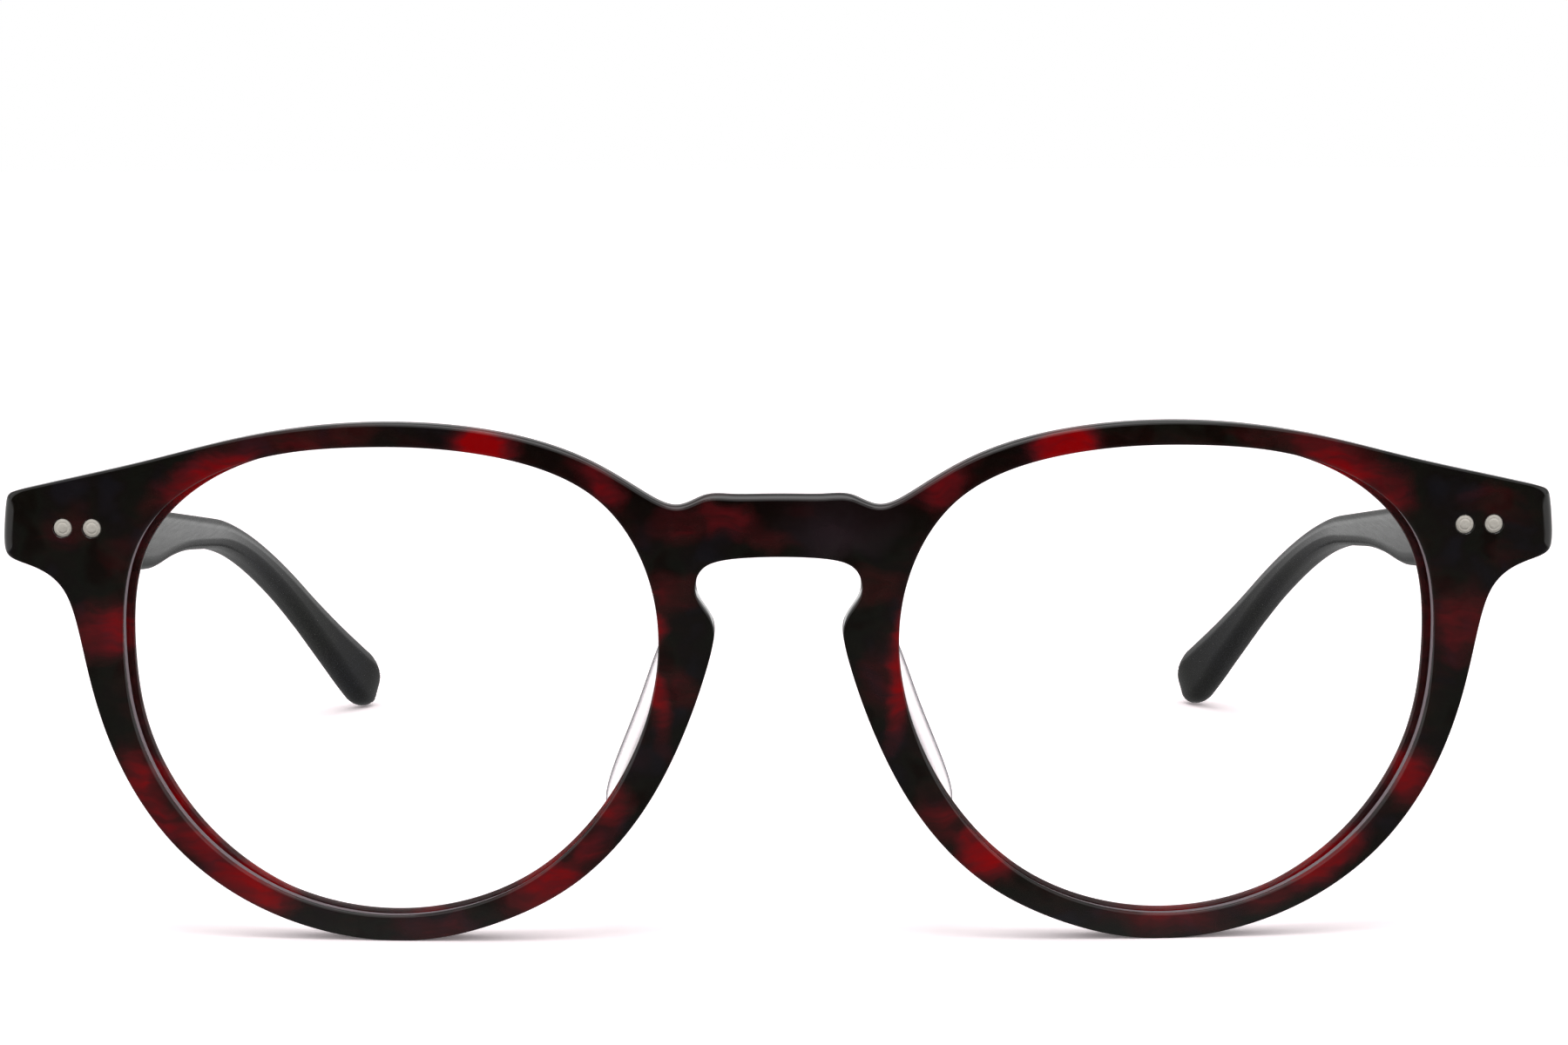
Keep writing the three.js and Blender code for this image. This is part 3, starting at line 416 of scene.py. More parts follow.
def round_loop(across, up, radius, sides):
    turns = 2 * math.pi * np.arange(sides) / sides
    return np.stack([across + radius * np.cos(turns), up + radius * np.sin(turns)], 1)


def inside(points, loop):
    """Which points lie inside a closed loop."""
    x, y = points[:, 0, None], points[:, 1, None]
    x0, y0 = loop.T
    x1, y1 = np.roll(loop, -1, axis=0).T
    crosses = ((y0 > y) != (y1 > y)) & (x < (x1 - x0) * (y - y0) / (y1 - y0 + 1e-30) + x0)
    return crosses.sum(axis=1) % 2 == 1


# ------------------------------------------------------------------ meshes
def mesh_from(name, points, faces):
    mesh = bpy.data.meshes.new(name)
    mesh.from_pydata([tuple(p) for p in points], [], [tuple(map(int, f)) for f in faces])
    mesh.validate()
    return mesh


def mark(mesh, name, values):
    """Stores a number for each point of a mesh."""
    store = mesh.attributes.new(name, "FLOAT", "POINT")
    store.data.foreach_set("value", np.asarray(values, np.float32))


def tidy(mesh, angle=35, merge=1e-4):
    """Merges doubles, turns the faces outwards and shades smooth up to an angle."""
    work = bmesh.new()
    work.from_mesh(mesh)
    bmesh.ops.remove_doubles(work, verts=work.verts, dist=merge)
    bmesh.ops.recalc_face_normals(work, faces=work.faces)
    work.to_mesh(mesh)
    work.free()
    mesh.polygons.foreach_set("use_smooth", [True] * len(mesh.polygons))
    mesh.set_sharp_from_angle(angle=math.radians(angle))
    return mesh


def layered(loops, ladders, spacing):
    """Closed sheet: a ladder of (inset, depth) rings down the edge of every loop, outer loop
    first, and triangles between the loops on both faces. Insets may differ from point to
    point. Points are (across, depth, up)."""
    points, faces, ends = [], [], []
    count = 0
    for index, (loop, ladder) in enumerate(zip(loops, ladders)):
        out, n = normals_of(loop), len(loop)
        side = 1 if index == 0 else -1
        for inset, depth in ladder:
            flat = loop - side * out * np.reshape(inset, (-1, 1))
            points.append(np.stack([flat[:, 0], np.broadcast_to(depth, n), flat[:, 1]], 1))
        for r in range(len(ladder) - 1):
            a = count + r * n + np.arange(n)
            b = count + r * n + (np.arange(n) + 1) % n
            faces += list(np.stack([a, b, b + n, a + n], 1))
        ends.append((count, count + (len(ladder) - 1) * n, n))
        count += len(ladder) * n
    points = list(np.concatenate(points))
    for level in (0, 1):
        rims = [np.array(points)[e[level]:e[level] + e[2]] for e in ends]
        flat = [rim[:, [0, 2]] for rim in rims]
        ids = np.concatenate([np.arange(e[level], e[level] + e[2]) for e in ends])
        edges, start = [], 0
        for e in ends:
            edges += [(start + i, start + (i + 1) % e[2]) for i in range(e[2])]
            start += e[2]
        low, high = flat[0].min(0), flat[0].max(0)
        xs = np.arange(low[0], high[0], spacing)
        ys = np.arange(low[1], high[1], spacing * .866)
        grid = np.array([(x + (j % 2) * spacing / 2, y) for j, y in enumerate(ys) for x in xs])
        keep = inside(grid, flat[0])
        for hole in flat[1:]:
            keep &= ~inside(grid, hole)
        grid, border = grid[keep], np.concatenate(flat)
        near = np.array([np.min(np.sum((border - g) ** 2, axis=1)) for g in grid])
        every = np.concatenate([border, grid[near > (spacing * .55) ** 2]])
        depth = np.mean(rims[0][:, 1])
        cut = delaunay_2d_cdt([Vector(p) for p in every], edges, [], 0, 1e-7)
        centres = np.array([np.mean([cut[0][i] for i in f], axis=0) for f in cut[2]])
        good = inside(centres, flat[0])
        for hole in flat[1:]:
            good &= ~inside(centres, hole)
        lookup = {}
        for new, old in enumerate(cut[3]):
            first = min(old) if old else -1
            if 0 <= first < len(ids):
                lookup[new] = int(ids[first])
            else:
                lookup[new] = len(points)
                points.append((cut[0][new][0], depth, cut[0][new][1]))
        faces += [[lookup[i] for i in f] for f, g in zip(cut[2], good) if g]
    return np.array(points), faces


def skin(rings, close=True):
    """Faces between rings of equal length, with a fan over each end."""
    n = len(rings[0])
    points = np.concatenate(rings)
    faces = [(r * n + i, r * n + (i + 1) % n, (r + 1) * n + (i + 1) % n, (r + 1) * n + i)
             for r in range(len(rings) - 1) for i in range(n)]
    if close:
        for start in (0, (len(rings) - 1) * n):
            middle = len(points)
            points = np.concatenate([points, points[start:start + n].mean(0)[None]])
            faces += [(start + i, start + (i + 1) % n, middle) for i in range(n)]
    return points, faces


def block(low, high, ease=0.0):
    """Mesh of a block with eased edges."""
    work = bmesh.new()
    bmesh.ops.create_cube(work, size=1)
    for v in work.verts:
        v.co = Vector([low[k] + (v.co[k] + .5) * (high[k] - low[k]) for k in range(3)])
    if ease:
        bmesh.ops.bevel(work, geom=work.edges, offset=ease, segments=2, affect="EDGES")
    mesh = bpy.data.meshes.new("block")
    work.to_mesh(mesh)
    work.free()
    return mesh


def lathe(profile, sides):
    """Mesh turned round Z from a profile of (radius, height), which starts and ends on it."""
    turns = 2 * math.pi * np.arange(sides) / sides
    rings = [np.stack([r * np.cos(turns), r * np.sin(turns), np.full(sides, z)], 1)
             for r, z in profile]
    return mesh_from("turned", *skin(rings, close=False))


def carve(mesh, *cutters):
    """Cuts other meshes out of a mesh."""
    target, tools = placed("carved", mesh), [placed("cutter", c) for c in cutters]
    for tool in tools:
        step = target.modifiers.new("cut", "BOOLEAN")
        step.operation, step.solver, step.object = "DIFFERENCE", "EXACT", tool
    result = evaluated(target)
    for obj in (*tools, target):
        bpy.data.objects.remove(obj)
    return result


def evaluated(obj):
    """Plain mesh of an object with its modifiers applied."""
    graph = bpy.context.evaluated_depsgraph_get()
    return bpy.data.meshes.new_from_object(obj.evaluated_get(graph), depsgraph=graph)


def joined(*meshes):
    work = bmesh.new()
    for mesh in meshes:
        work.from_mesh(mesh)
    result = bpy.data.meshes.new("joined")
    work.to_mesh(result)
    work.free()
    return result


def mirrored(mesh):
    mesh.transform(Matrix.Diagonal((-1, 1, 1, 1)))
    mesh.flip_normals()


def show(name, mesh, material, body, side, nodes):
    """Makes a finished piece: moved to the table frame, in metres, at the origin."""
    if side == "right":
        mirrored(mesh)
    mesh.transform(Matrix.Scale(MM, 4) @ Matrix.Translation(PLACE))
    mesh.materials.clear()
    mesh.materials.append(material)
    mesh.name = name
    piece = placed(name, mesh)
    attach(piece, body)
    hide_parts(*nodes)


# ------------------------------------------------------------------ the front
def smooth_step(low, high, value):
    f = np.clip((value - low) / (high - low), 0, 1)
    return f * f * (3 - 2 * f)


HALF = [(x * HALF_WIDTH, z * FRONT_HEIGHT) for x, z in OUTLINE_SHARES]
OUTLINE = spline_loop(HALF + [(-x, z) for x, z in reversed(HALF)], 14)[::-1]
OPENING_LEFT = spline_loop([
    (OPENING_CENTRE[0] + x * OPENING[0], OPENING_CENTRE[1] + z * OPENING[1])
    for x, z in OPENING_SHARES], 26)
OPENING_RIGHT = (OPENING_LEFT * (-1, 1))[::-1]


def eased(ease, depth, turn=1, steps=5):
    """Quarter round from a face at a depth into the wall: (inset, depth) rings."""
    angles = [math.pi / 2 * k / steps for k in range(steps + 1)]
    return [(ease * (1 - math.sin(a)), depth + turn * ease * (1 - math.cos(a))) for a in angles]


def face_rings(ease, depth):
    """Two flat rings on a face, inside its eased edge, so that the face shades as a flat."""
    return [(ease + inset, depth) for inset in (.3, .08)]


def hole_edge(ease, thick):
    """Wall of a rivet hole, eased at both faces."""
    return [(ease, 0), (0, ease), (0, thick - ease), (ease, thick)]


def make_front():
    """The front, cut flat with its grooves, ledges and rivet holes, and then bent."""
    off = np.abs(OUTLINE[:, 0])
    ends = smooth_step(.3, .95, np.abs(normals_of(OUTLINE)[:, 0])) * (off > END_FROM)
    spread = range(-9, 10)
    ends = sum(np.roll(ends, shift) for shift in spread) / len(spread)
    ease = FACE_EASE + (END_EASE - FACE_EASE) * ends
    # The top of the bridge falls forwards.
    bridge = 1 - smooth_step(BRIDGE_WIDE, BRIDGE_EDGE, off)
    bridge = bridge * (OUTLINE[:, 1] > BRIDGE_FROM)
    outer = (face_rings(ease, 0) + eased(ease, 0) + eased(BACK_EASE, FRONT_THICK, -1)[::-1]
             + face_rings(BACK_EASE, FRONT_THICK)[::-1])
    outer = [(inset + BRIDGE_FALL * bridge * (1 - depth / FRONT_THICK), depth)
             for inset, depth in outer]
    mouth, floor = GROOVE_MOUTH / 2, GROOVE_FLOOR / 2
    loops, ladders = [OUTLINE], [outer]
    for loop, outwards in ((OPENING_LEFT, 1), (OPENING_RIGHT, -1)):
        # Behind the lens, the wall stands further in at the temple side and below: a ledge.
        across, up = normals_of(loop).T
        ledge = LEDGE * np.maximum(smooth_step(-.1, .9, outwards * across),
                                   LEDGE_BELOW * smooth_step(-.1, .8, -up))
        seat = GROOVE_MIDDLE + LENS_THICK / 2 + LENS_ROOM
        loops.append(loop)
        ladders.append(face_rings(LIP_EASE, 0) + eased(LIP_EASE, 0) + [
            (UNDERCUT, GROOVE_MIDDLE - mouth), (GROOVE_DEPTH, GROOVE_MIDDLE - floor),
            (GROOVE_DEPTH, GROOVE_MIDDLE + floor), (UNDERCUT, GROOVE_MIDDLE + mouth),
            (UNDERCUT, seat)
        ] + [(inset * ledge / LEDGE - ledge, depth)
             for inset, depth in eased(LEDGE_EASE, seat, steps=3)
        ] + [(inset - ledge, depth) for inset, depth in (
            eased(BACK_EASE, FRONT_THICK, -1)[::-1] + face_rings(BACK_EASE, FRONT_THICK)[::-1])])
    for side in (-1, 1):
        for across in FRONT_RIVETS:
            loops.append(round_loop(side * across, RIVET_UP, RIVET_HOLE, 36))
            ladders.append(hole_edge(FRONT_HOLE_EASE, FRONT_THICK))
    points, faces = layered(loops, ladders, FRONT_GRID)
    mesh = mesh_from("front_acetate", points, faces)
    # How close a point is to a lens opening, which sets the painted light there. The ledge behind
    # the lens, thinner still, gets more painted light.
    flat = points[:, [0, 2]]
    lips = np.concatenate([OPENING_LEFT, OPENING_RIGHT])
    gaps = np.array([math.sqrt(np.min(np.sum((lips - p) ** 2, axis=1))) for p in flat])
    ledge = (points[:, 1] > GROOVE_MIDDLE) & (gaps < 1)
    mark(mesh, "painted_glow", np.where(ledge, LEDGE_LIGHT, np.clip(1 - gaps / LIP_WIDE, 0, 1)))
    mesh = tidy(grown(BEND_TREE, mesh, Material=TORTOISE), 40, 1e-5)
    show("front_acetate", mesh, TORTOISE, "front", None, ["front_frame"])


# ------------------------------------------------------------------ geometry nodes
FLOAT, WHOLE, VECTOR, FINISH = (
    "NodeSocketFloat", "NodeSocketInt", "NodeSocketVector", "NodeSocketMaterial")


def new_tree(name, *sizes):
    """Geometry tree with a named input for each size: (name, socket kind, value), the function
    that adds a node to it, and its inputs."""
    tree = bpy.data.node_groups.new(name, "GeometryNodeTree")
    tree.interface.new_socket("Geometry", in_out="INPUT", socket_type="NodeSocketGeometry")
    for label, kind, value in sizes:
        socket = tree.interface.new_socket(label, in_out="INPUT", socket_type=kind)
        socket.default_value = value
    tree.interface.new_socket("Geometry", in_out="OUTPUT", socket_type="NodeSocketGeometry")
    add = partial(add_node, tree)
    return tree, add, add("NodeGroupInput").outputs


def end_tree(tree, geometry, material):
    real = add_node(tree, "GeometryNodeRealizeInstances", (geometry,))
    last = add_node(tree, "GeometryNodeSetMaterial", {"Geometry": real, "Material": material})
    add_node(tree, "NodeGroupOutput", (last,))
    return tree


def grown(tree, base=None, **sizes):
    """Runs a geometry tree with the given sizes and returns its plain mesh."""
    carrier = placed("carrier", base or bpy.data.meshes.new("carrier"))
    step = carrier.modifiers.new("tree", "NODES")
    step.node_group = tree
    for item in tree.interface.items_tree:
        if item.in_out == "INPUT" and item.name in sizes:
            step[item.identifier] = sizes[item.name]
    result = evaluated(carrier)
    carrier.modifiers.clear()
    bpy.data.objects.remove(carrier)
    return result


def bend_tree():
    """The bend that the front, lenses and pads share: flat pieces are wrapped round the front's
    cylinder, and a lens is dished forwards, most in its middle, where its share is 0."""
    tree, add, size = new_tree("bent with the front", ("Wrap", FLOAT, WRAP),
                               ("Dish", FLOAT, 0.0), ("Material", FINISH, None))
    flat = add("ShaderNodeSeparateXYZ", (add("GeometryNodeInputPosition"),)).outputs
    share = add("GeometryNodeInputNamedAttribute", {"Name": "share"}, data_type="FLOAT")
    dish = add("ShaderNodeMath", (share, 2.0), operation="POWER")
    dish = add("ShaderNodeMath", (1.0, dish), operation="SUBTRACT")
    dish = add("ShaderNodeMath", (size["Dish"], dish), operation="MULTIPLY")
    back = add("ShaderNodeMath", (flat["Y"], dish), operation="SUBTRACT")
    reach = add("ShaderNodeMath", (size["Wrap"], back), operation="SUBTRACT")
    turn = add("ShaderNodeMath", (flat["X"], size["Wrap"]), operation="DIVIDE")
    across, depth = (
        add("ShaderNodeMath", (reach, add("ShaderNodeMath", (turn,), operation=part)),
            operation="MULTIPLY") for part in ("SINE", "COSINE"))
    depth = add("ShaderNodeMath", (size["Wrap"], depth), operation="SUBTRACT")
    place = add("ShaderNodeCombineXYZ", (across, depth, flat["Z"]))
    bent = add("GeometryNodeSetPosition", {"Geometry": size["Geometry"], "Position": place})
    return end_tree(tree, bent, size["Material"])


def rivet_tree():
    """A row of rivets: round pegs with slightly crowned ends and a turned ring in each end."""
    tree, add, size = new_tree(
        "rivet row", ("Count", WHOLE, 2), ("Start", VECTOR, (0, 0, 0)),
        ("Step", VECTOR, (1, 0, 0)), ("Turn", VECTOR, (0, 0, 0)), ("Radius", FLOAT, RIVET),
        ("Length", FLOAT, 4.0), ("Crown", FLOAT, .07), ("Ring place", FLOAT, .62),
        ("Ring wide", FLOAT, .06), ("Ring depth", FLOAT, .02))
    peg = add("GeometryNodeMeshCylinder", {
        "Vertices": 40, "Side Segments": 1, "Fill Segments": 14, "Radius": size["Radius"],
        "Depth": size["Length"]})
    spot = add("GeometryNodeInputPosition")
    out = add("ShaderNodeVectorMath", (spot, (1, 1, 0)), operation="MULTIPLY")
    out = add("ShaderNodeVectorMath", (out,), operation="LENGTH").outputs["Value"]
    share = add("ShaderNodeMath", (out, size["Radius"]), operation="DIVIDE")
    fall = add("ShaderNodeMath", (share, 3.0), operation="POWER")
    fall = add("ShaderNodeMath", (fall, size["Crown"]), operation="MULTIPLY")
    ring = add("ShaderNodeMath", (share, size["Ring place"], size["Ring wide"]),
               operation="COMPARE")
    fall = add("ShaderNodeMath", (ring, size["Ring depth"], fall), operation="MULTIPLY_ADD")
    end = add("ShaderNodeSeparateXYZ", (spot,)).outputs["Z"]
    end = add("ShaderNodeMath", (end,), operation="SIGN")
    fall = add("ShaderNodeMath", (fall, end), operation="MULTIPLY")
    fall = add("ShaderNodeMath", (fall, -1.0), operation="MULTIPLY")
    peg = add("GeometryNodeSetPosition", {
        "Geometry": peg, "Offset": add("ShaderNodeCombineXYZ", {"Z": fall})})
    row = add("GeometryNodeMeshLine", {
        "Count": size["Count"], "Start Location": size["Start"], "Offset": size["Step"]},
        mode="OFFSET")
    turn = add("FunctionNodeEulerToRotation", (size["Turn"],))
    pegs = add("GeometryNodeInstanceOnPoints", {
        "Points": row, "Instance": peg, "Rotation": turn})
    return end_tree(tree, pegs, FILED)


def knuckle_tree():
    """The barrels of a hinge leaf, a pitch apart on the pin: bored, with eased edges."""
    tree, add, size = new_tree(
        "knuckles", ("Count", WHOLE, 3), ("First", FLOAT, 0.0), ("Pitch", FLOAT, 1.0),
        ("Radius", FLOAT, KNUCKLE), ("Bore", FLOAT, BORE), ("Height", FLOAT, KNUCKLE_HIGH),
        ("Ease", FLOAT, .09))
    wall = add("ShaderNodeMath", (size["Radius"], size["Bore"]), operation="SUBTRACT")
    middle = add("ShaderNodeMath", (wall, .5, size["Bore"]), operation="MULTIPLY_ADD")
    around = add("GeometryNodeCurvePrimitiveCircle", {"Resolution": 48, "Radius": middle})
    section = add("GeometryNodeCurvePrimitiveQuadrilateral", {
        "Width": wall, "Height": size["Height"]})
    section = add("GeometryNodeFilletCurve", {
        "Curve": section, "Radius": size["Ease"], "Count": 3}, mode="POLY")
    barrel = add("GeometryNodeCurveToMesh", {"Curve": around, "Profile Curve": section})
    first, pitch = (add("ShaderNodeCombineXYZ", {"Z": size[n]}) for n in ("First", "Pitch"))
    stack = add("GeometryNodeMeshLine", {
        "Count": size["Count"], "Start Location": first, "Offset": pitch}, mode="OFFSET")
    barrels = add("GeometryNodeInstanceOnPoints", {"Points": stack, "Instance": barrel})
    return end_tree(tree, barrels, LEAF)


def wire_tree():
    """Round wire along a path, with flat ends."""
    tree, add, size = new_tree("core wire", ("Radius", FLOAT, WIRE), ("Step", FLOAT, 1.0))
    path = add("GeometryNodeMeshToCurve", {"Mesh": size["Geometry"]})
    even = add("GeometryNodeResampleCurve", {"Curve": path, "Length": size["Step"]},
               mode="LENGTH")
    section = add("GeometryNodeCurvePrimitiveCircle", {
        "Resolution": 16, "Radius": size["Radius"]})
    wire = add("GeometryNodeCurveToMesh", {
        "Curve": even, "Profile Curve": section, "Fill Caps": True})
    return end_tree(tree, wire, STEEL)


BEND_TREE, RIVET_TREE, KNUCKLE_TREE, WIRE_TREE = (
    bend_tree(), rivet_tree(), knuckle_tree(), wire_tree())


# ------------------------------------------------------------------ lenses and pads
def make_lens(side):
    """A lens, with the ridge on its edge filling the groove of the rim."""
    centre = np.array(OPENING_CENTRE)
    out = normals_of(OPENING_LEFT)
    edge = OPENING_LEFT + out * LENS_GRIP
    ridge = OPENING_LEFT + out * (GROOVE_DEPTH + RIDGE_PRESS)
    rows = np.linspace(0, 1, LENS_ROWS + 1)[1:]
    half, mouth, floor = LENS_THICK / 2, GROOVE_MOUTH / 2, GROOVE_FLOOR / 2
    steps = ([(centre + (edge - centre) * row, -half, row) for row in rows]
             + [(edge, -mouth, 1), (ridge, -floor, 1), (ridge, floor, 1), (edge, mouth, 1)]
             + [(centre + (edge - centre) * row, half, row) for row in rows[::-1]])
    points, faces = skin([np.stack([loop[:, 0], np.full(len(loop), GROOVE_MIDDLE + depth),
                                    loop[:, 1]], 1) for loop, depth, _ in steps])
    mesh = mesh_from("lens", points, faces)
    # Share of the way out from the middle; the ridge and its two flanks are ground. The
    # last two points are the middles of both faces.
    for name, values in (
            ("share", [row for _, _, row in steps]),
            ("ground", [loop is ridge or abs(depth) == mouth for loop, depth, _ in steps])):
        mark(mesh, name, [*np.repeat(np.array(values, float), len(edge)), 0, 0])
    mesh = tidy(grown(BEND_TREE, mesh, Dish=LENS_DOME, Material=LENS), 25, 1e-5)
    show(f"clear_lens_{side}", mesh, LENS, "front", side, [f"lens_{side}"])


def nose_side(up):
    """Nose side of the front's outline at a height."""
    a, b = OUTLINE, np.roll(OUTLINE, -1, axis=0)
    hit = (a[:, 0] > 0) & (b[:, 0] > 0) & ((a[:, 1] - up) * (b[:, 1] - up) <= 0)
    a, b = a[hit], b[hit]
    return np.min(a[:, 0] + (b[:, 0] - a[:, 0]) * (up - a[:, 1]) / (b[:, 1] - a[:, 1] + 1e-12))


def make_pad(side):
    """Clear pad glued behind the nose side of the rim: a leaning fin, fullest in the middle,
    with a rounded back and rounded ends."""
    section = spline_loop([
        (0, 0, 0), (0, 0, 0), (0, .5, .42), (0, .84, .86), (.3, 1, 1.05), (.72, 1, 1.02),
        (1, .85, .9), (1, .45, .42), (1, 0, .1), (1, 0, .1)], 5)
    rings = []
    for share in (1 - np.cos(np.linspace(0, math.pi, PAD_ROWS))) / 2:
        up = PAD_BOTTOM + (PAD_TOP - PAD_BOTTOM) * share
        swell = max(1 - abs(2 * share - 1) ** 3.2, 0) ** .5
        plump = .35 + .65 * swell
        start = nose_side(up) + PAD_INSET + PAD_THICK * (1 - plump) / 2
        thick, back, flare = section.T
        rings.append(np.stack([
            start + thick * PAD_THICK * plump + flare * PAD_FLARE * (.3 + .7 * swell),
            FRONT_THICK + PAD_SEAT + np.clip(back, 0, 1) * PAD_REACH * (.25 + .75 * swell),
            np.full(len(section), up)], 1))
    mesh = tidy(grown(BEND_TREE, mesh_from("pad", *skin(rings)), Material=CLEAR), 50, 1e-5)
    show(f"clear_pad_{side}", mesh, CLEAR, "front", side, [f"nose_pad_{side}"])


# ------------------------------------------------------------------ hinge and temple
# Hinge frame: origin on the pin at the middle height of the hinge, x outwards, y backwards.
PIN_SPOT = Vector(wrapped([(HINGE_ACROSS, FRONT_THICK + PIN_BACK, HINGE_UP)])[0])
AT_FRONT = Matrix.Translation(PIN_SPOT) @ Matrix.Rotation(HINGE_ACROSS / WRAP, 4, "Z")
AT_TEMPLE = Matrix.Translation(PIN_SPOT) @ Matrix.Rotation(LEAN, 4, "Z")
PITCH = KNUCKLE_HIGH + KNUCKLE_GAP
HINGE_HIGH = 5 * KNUCKLE_HIGH + 4 * KNUCKLE_GAP
DROP_END = DROP_START + (DROP - SLOPE) * DROP_RADIUS


def temple_point(u, below, out):
    """Point of a temple at u along its top edge, a depth below it and out from its inner face."""
    angle = min(max(SLOPE + (u - DROP_START) / DROP_RADIUS, SLOPE), DROP)
    top = (TEMPLE_TOP - min(u, DROP_START) * math.tan(SLOPE)
           - DROP_RADIUS * math.log(math.cos(SLOPE) / math.cos(angle))
           - max(u - DROP_END, 0) * math.tan(DROP))
    v = u - below * math.sin(angle)
    turn = max(v - TEMPLE_STRAIGHT, 0) / TEMPLE_BEND
    return (-PIN_INNER - TEMPLE_BEND * (1 - math.cos(turn)) + out * math.cos(turn),
            min(v, TEMPLE_STRAIGHT) + TEMPLE_BEND * math.sin(turn) + out * math.sin(turn),
            top - below * math.cos(angle))


def temple_thick(u):
    if u < TEMPLE_STRAIGHT:
        return THICK_FRONT + (THICK_BEND - THICK_FRONT) * u / TEMPLE_STRAIGHT
    share = (u - TEMPLE_STRAIGHT) / (TEMPLE_LONG - TEMPLE_STRAIGHT)
    return THICK_BEND + (THICK_TIP - THICK_BEND) * share


def temple_deep(u):
    return TEMPLE_DEEP * table_at(DEPTH_SHARES, u / TEMPLE_LONG)


def temple_section(u):
    """Rounded rectangle, fading to a rounded end over the last few millimetres."""
    deep, thick = temple_deep(u), temple_thick(u)
    end = max((u - (TEMPLE_LONG - TIP_ROUND)) / TIP_ROUND, 0)
    fade = math.sqrt(max(1 - end ** 2.1, .002))
    share = min(max(u / TEMPLE_LONG, 0), 1)
    corner = (CORNER_FRONT + (CORNER_TIP - CORNER_FRONT) * share) * fade
    high, low = deep / 2 * (1 - fade), deep / 2 * (1 + fade)
    inner, outer = thick / 2 * (1 - fade), thick / 2 * (1 + fade)
    ring = []
    corners = [(high + corner, inner + corner, math.pi),
               (low - corner, inner + corner, 1.5 * math.pi),
               (low - corner, outer - corner, 0),
               (high + corner, outer - corner, .5 * math.pi)]
    for k, (b, o, start) in enumerate(corners):
        turns = [start + math.pi / 2 * s / CORNER_STEPS for s in range(CORNER_STEPS + 1)]
        arc = [(b + corner * math.cos(a), o + corner * math.sin(a)) for a in turns]
        following = corners[(k + 1) % 4]
        first = (following[0] + corner * math.cos(following[2]),
                 following[1] + corner * math.sin(following[2]))
        steps = WIDE_STEPS if k % 2 == 0 else THICK_STEPS
        ring += arc + [tuple(arc[-1][c] + (first[c] - arc[-1][c]) * s / steps for c in (0, 1))
                       for s in range(1, steps)]
    return np.array([temple_point(u, b, o) for b, o in ring])


def sloping(mesh):
    for v in mesh.vertices:
        v.co.z -= v.co.y * math.tan(SLOPE)
    return mesh


def upright(radius, low, high, sides=48):
    return lathe([(0, low), (radius, low), (radius, high), (0, high)], sides)


def make_temple(side):
    """A temple with its mitred end and leaf pocket, the wire in it and its two rivets."""
    stations = list(np.linspace(-2 * PIN_BACK, TEMPLE_LONG - TIP_ROUND, TEMPLE_ROWS))
    stations += [TEMPLE_LONG - TIP_ROUND * (1 - math.sin(a))
                 for a in np.linspace(0, math.pi / 2, TIP_ROWS + 1)[1:]]
    body = tidy(mesh_from("temple", *skin([temple_section(u) for u in stations])), 50)
    deep = 2 * TEMPLE_DEEP
    mitre = block((-3 * NOTCH - THICK_FRONT, -4 * PIN_BACK, -deep),
                  (4 * THICK_FRONT, END_GAP - PIN_BACK, deep))
    mitre.transform(Matrix.Rotation(HINGE_ACROSS / WRAP - LEAN, 4, "Z"))
    leaf_high = LEAF_SEAT - PIN_INNER + LEAF_THICK
    pocket = sloping(block(
        (-2 * THICK_FRONT, 0, -LEAF_HIGH / 2 - POCKET_CLEAR),
        (leaf_high + LEAF_SEAT, TEMPLE_LEAF + POCKET_CLEAR, LEAF_HIGH / 2 + POCKET_CLEAR)))
    cuts = [mitre, tidy(upright(NOTCH, -deep, deep)),
            block((-2 * NOTCH, -4 * PIN_BACK, -deep), (NOTCH, 0, deep)), pocket]
    for along in TEMPLE_RIVETS:
        hole = tidy(upright(RIVET_HOLE, -THICK_FRONT, 2 * THICK_FRONT, 36))
        hole.transform(Matrix.Translation((0, along, -along * math.tan(SLOPE)))
                       @ Matrix.Rotation(math.pi / 2, 4, "Y"))
        cuts.append(hole)
    mesh = tidy(carve(body, *cuts), 30, 1e-5)
    mesh.transform(AT_TEMPLE)
    arm = f"temple_{side}_arm"
    show(f"black_temple_{side}", mesh, BLACK, arm, side, [f"temple_{side}"])

    path = [temple_point(u, temple_deep(u) * table_at(CORE_SHARES, u / TEMPLE_LONG),
                         temple_thick(u) / 2)
            for u in np.linspace(WIRE_START, WIRE_START + WIRE_LONG, WIRE_ROWS + 1)]
    line = bpy.data.meshes.new("wire path")
    line.from_pydata(path, [(i, i + 1) for i in range(WIRE_ROWS)], [])
    mesh = tidy(grown(WIRE_TREE, line), 40)
    mesh.transform(AT_TEMPLE)
    show(f"core_wire_{side}", mesh, STEEL, arm, side, [f"temple_core_{side}"])

    low = LEAF_SEAT - PIN_INNER + RIVET_FLUSH
    thick = temple_thick(sum(TEMPLE_RIVETS) / 2) - PIN_INNER - RIVET_FLUSH
    first, second = TEMPLE_RIVETS
    mesh = tidy(grown(
        RIVET_TREE, Start=((low + thick) / 2, first, -first * math.tan(SLOPE)),
        Step=(0, second - first, -(second - first) * math.tan(SLOPE)),
        Turn=(0, math.pi / 2, 0), Length=thick - low), 30)
    mesh.transform(AT_TEMPLE)
    show(f"temple_rivets_{side}", mesh, FILED, arm, side,
         [f"temple_rivet_{side}_{i}" for i in (1, 2)])


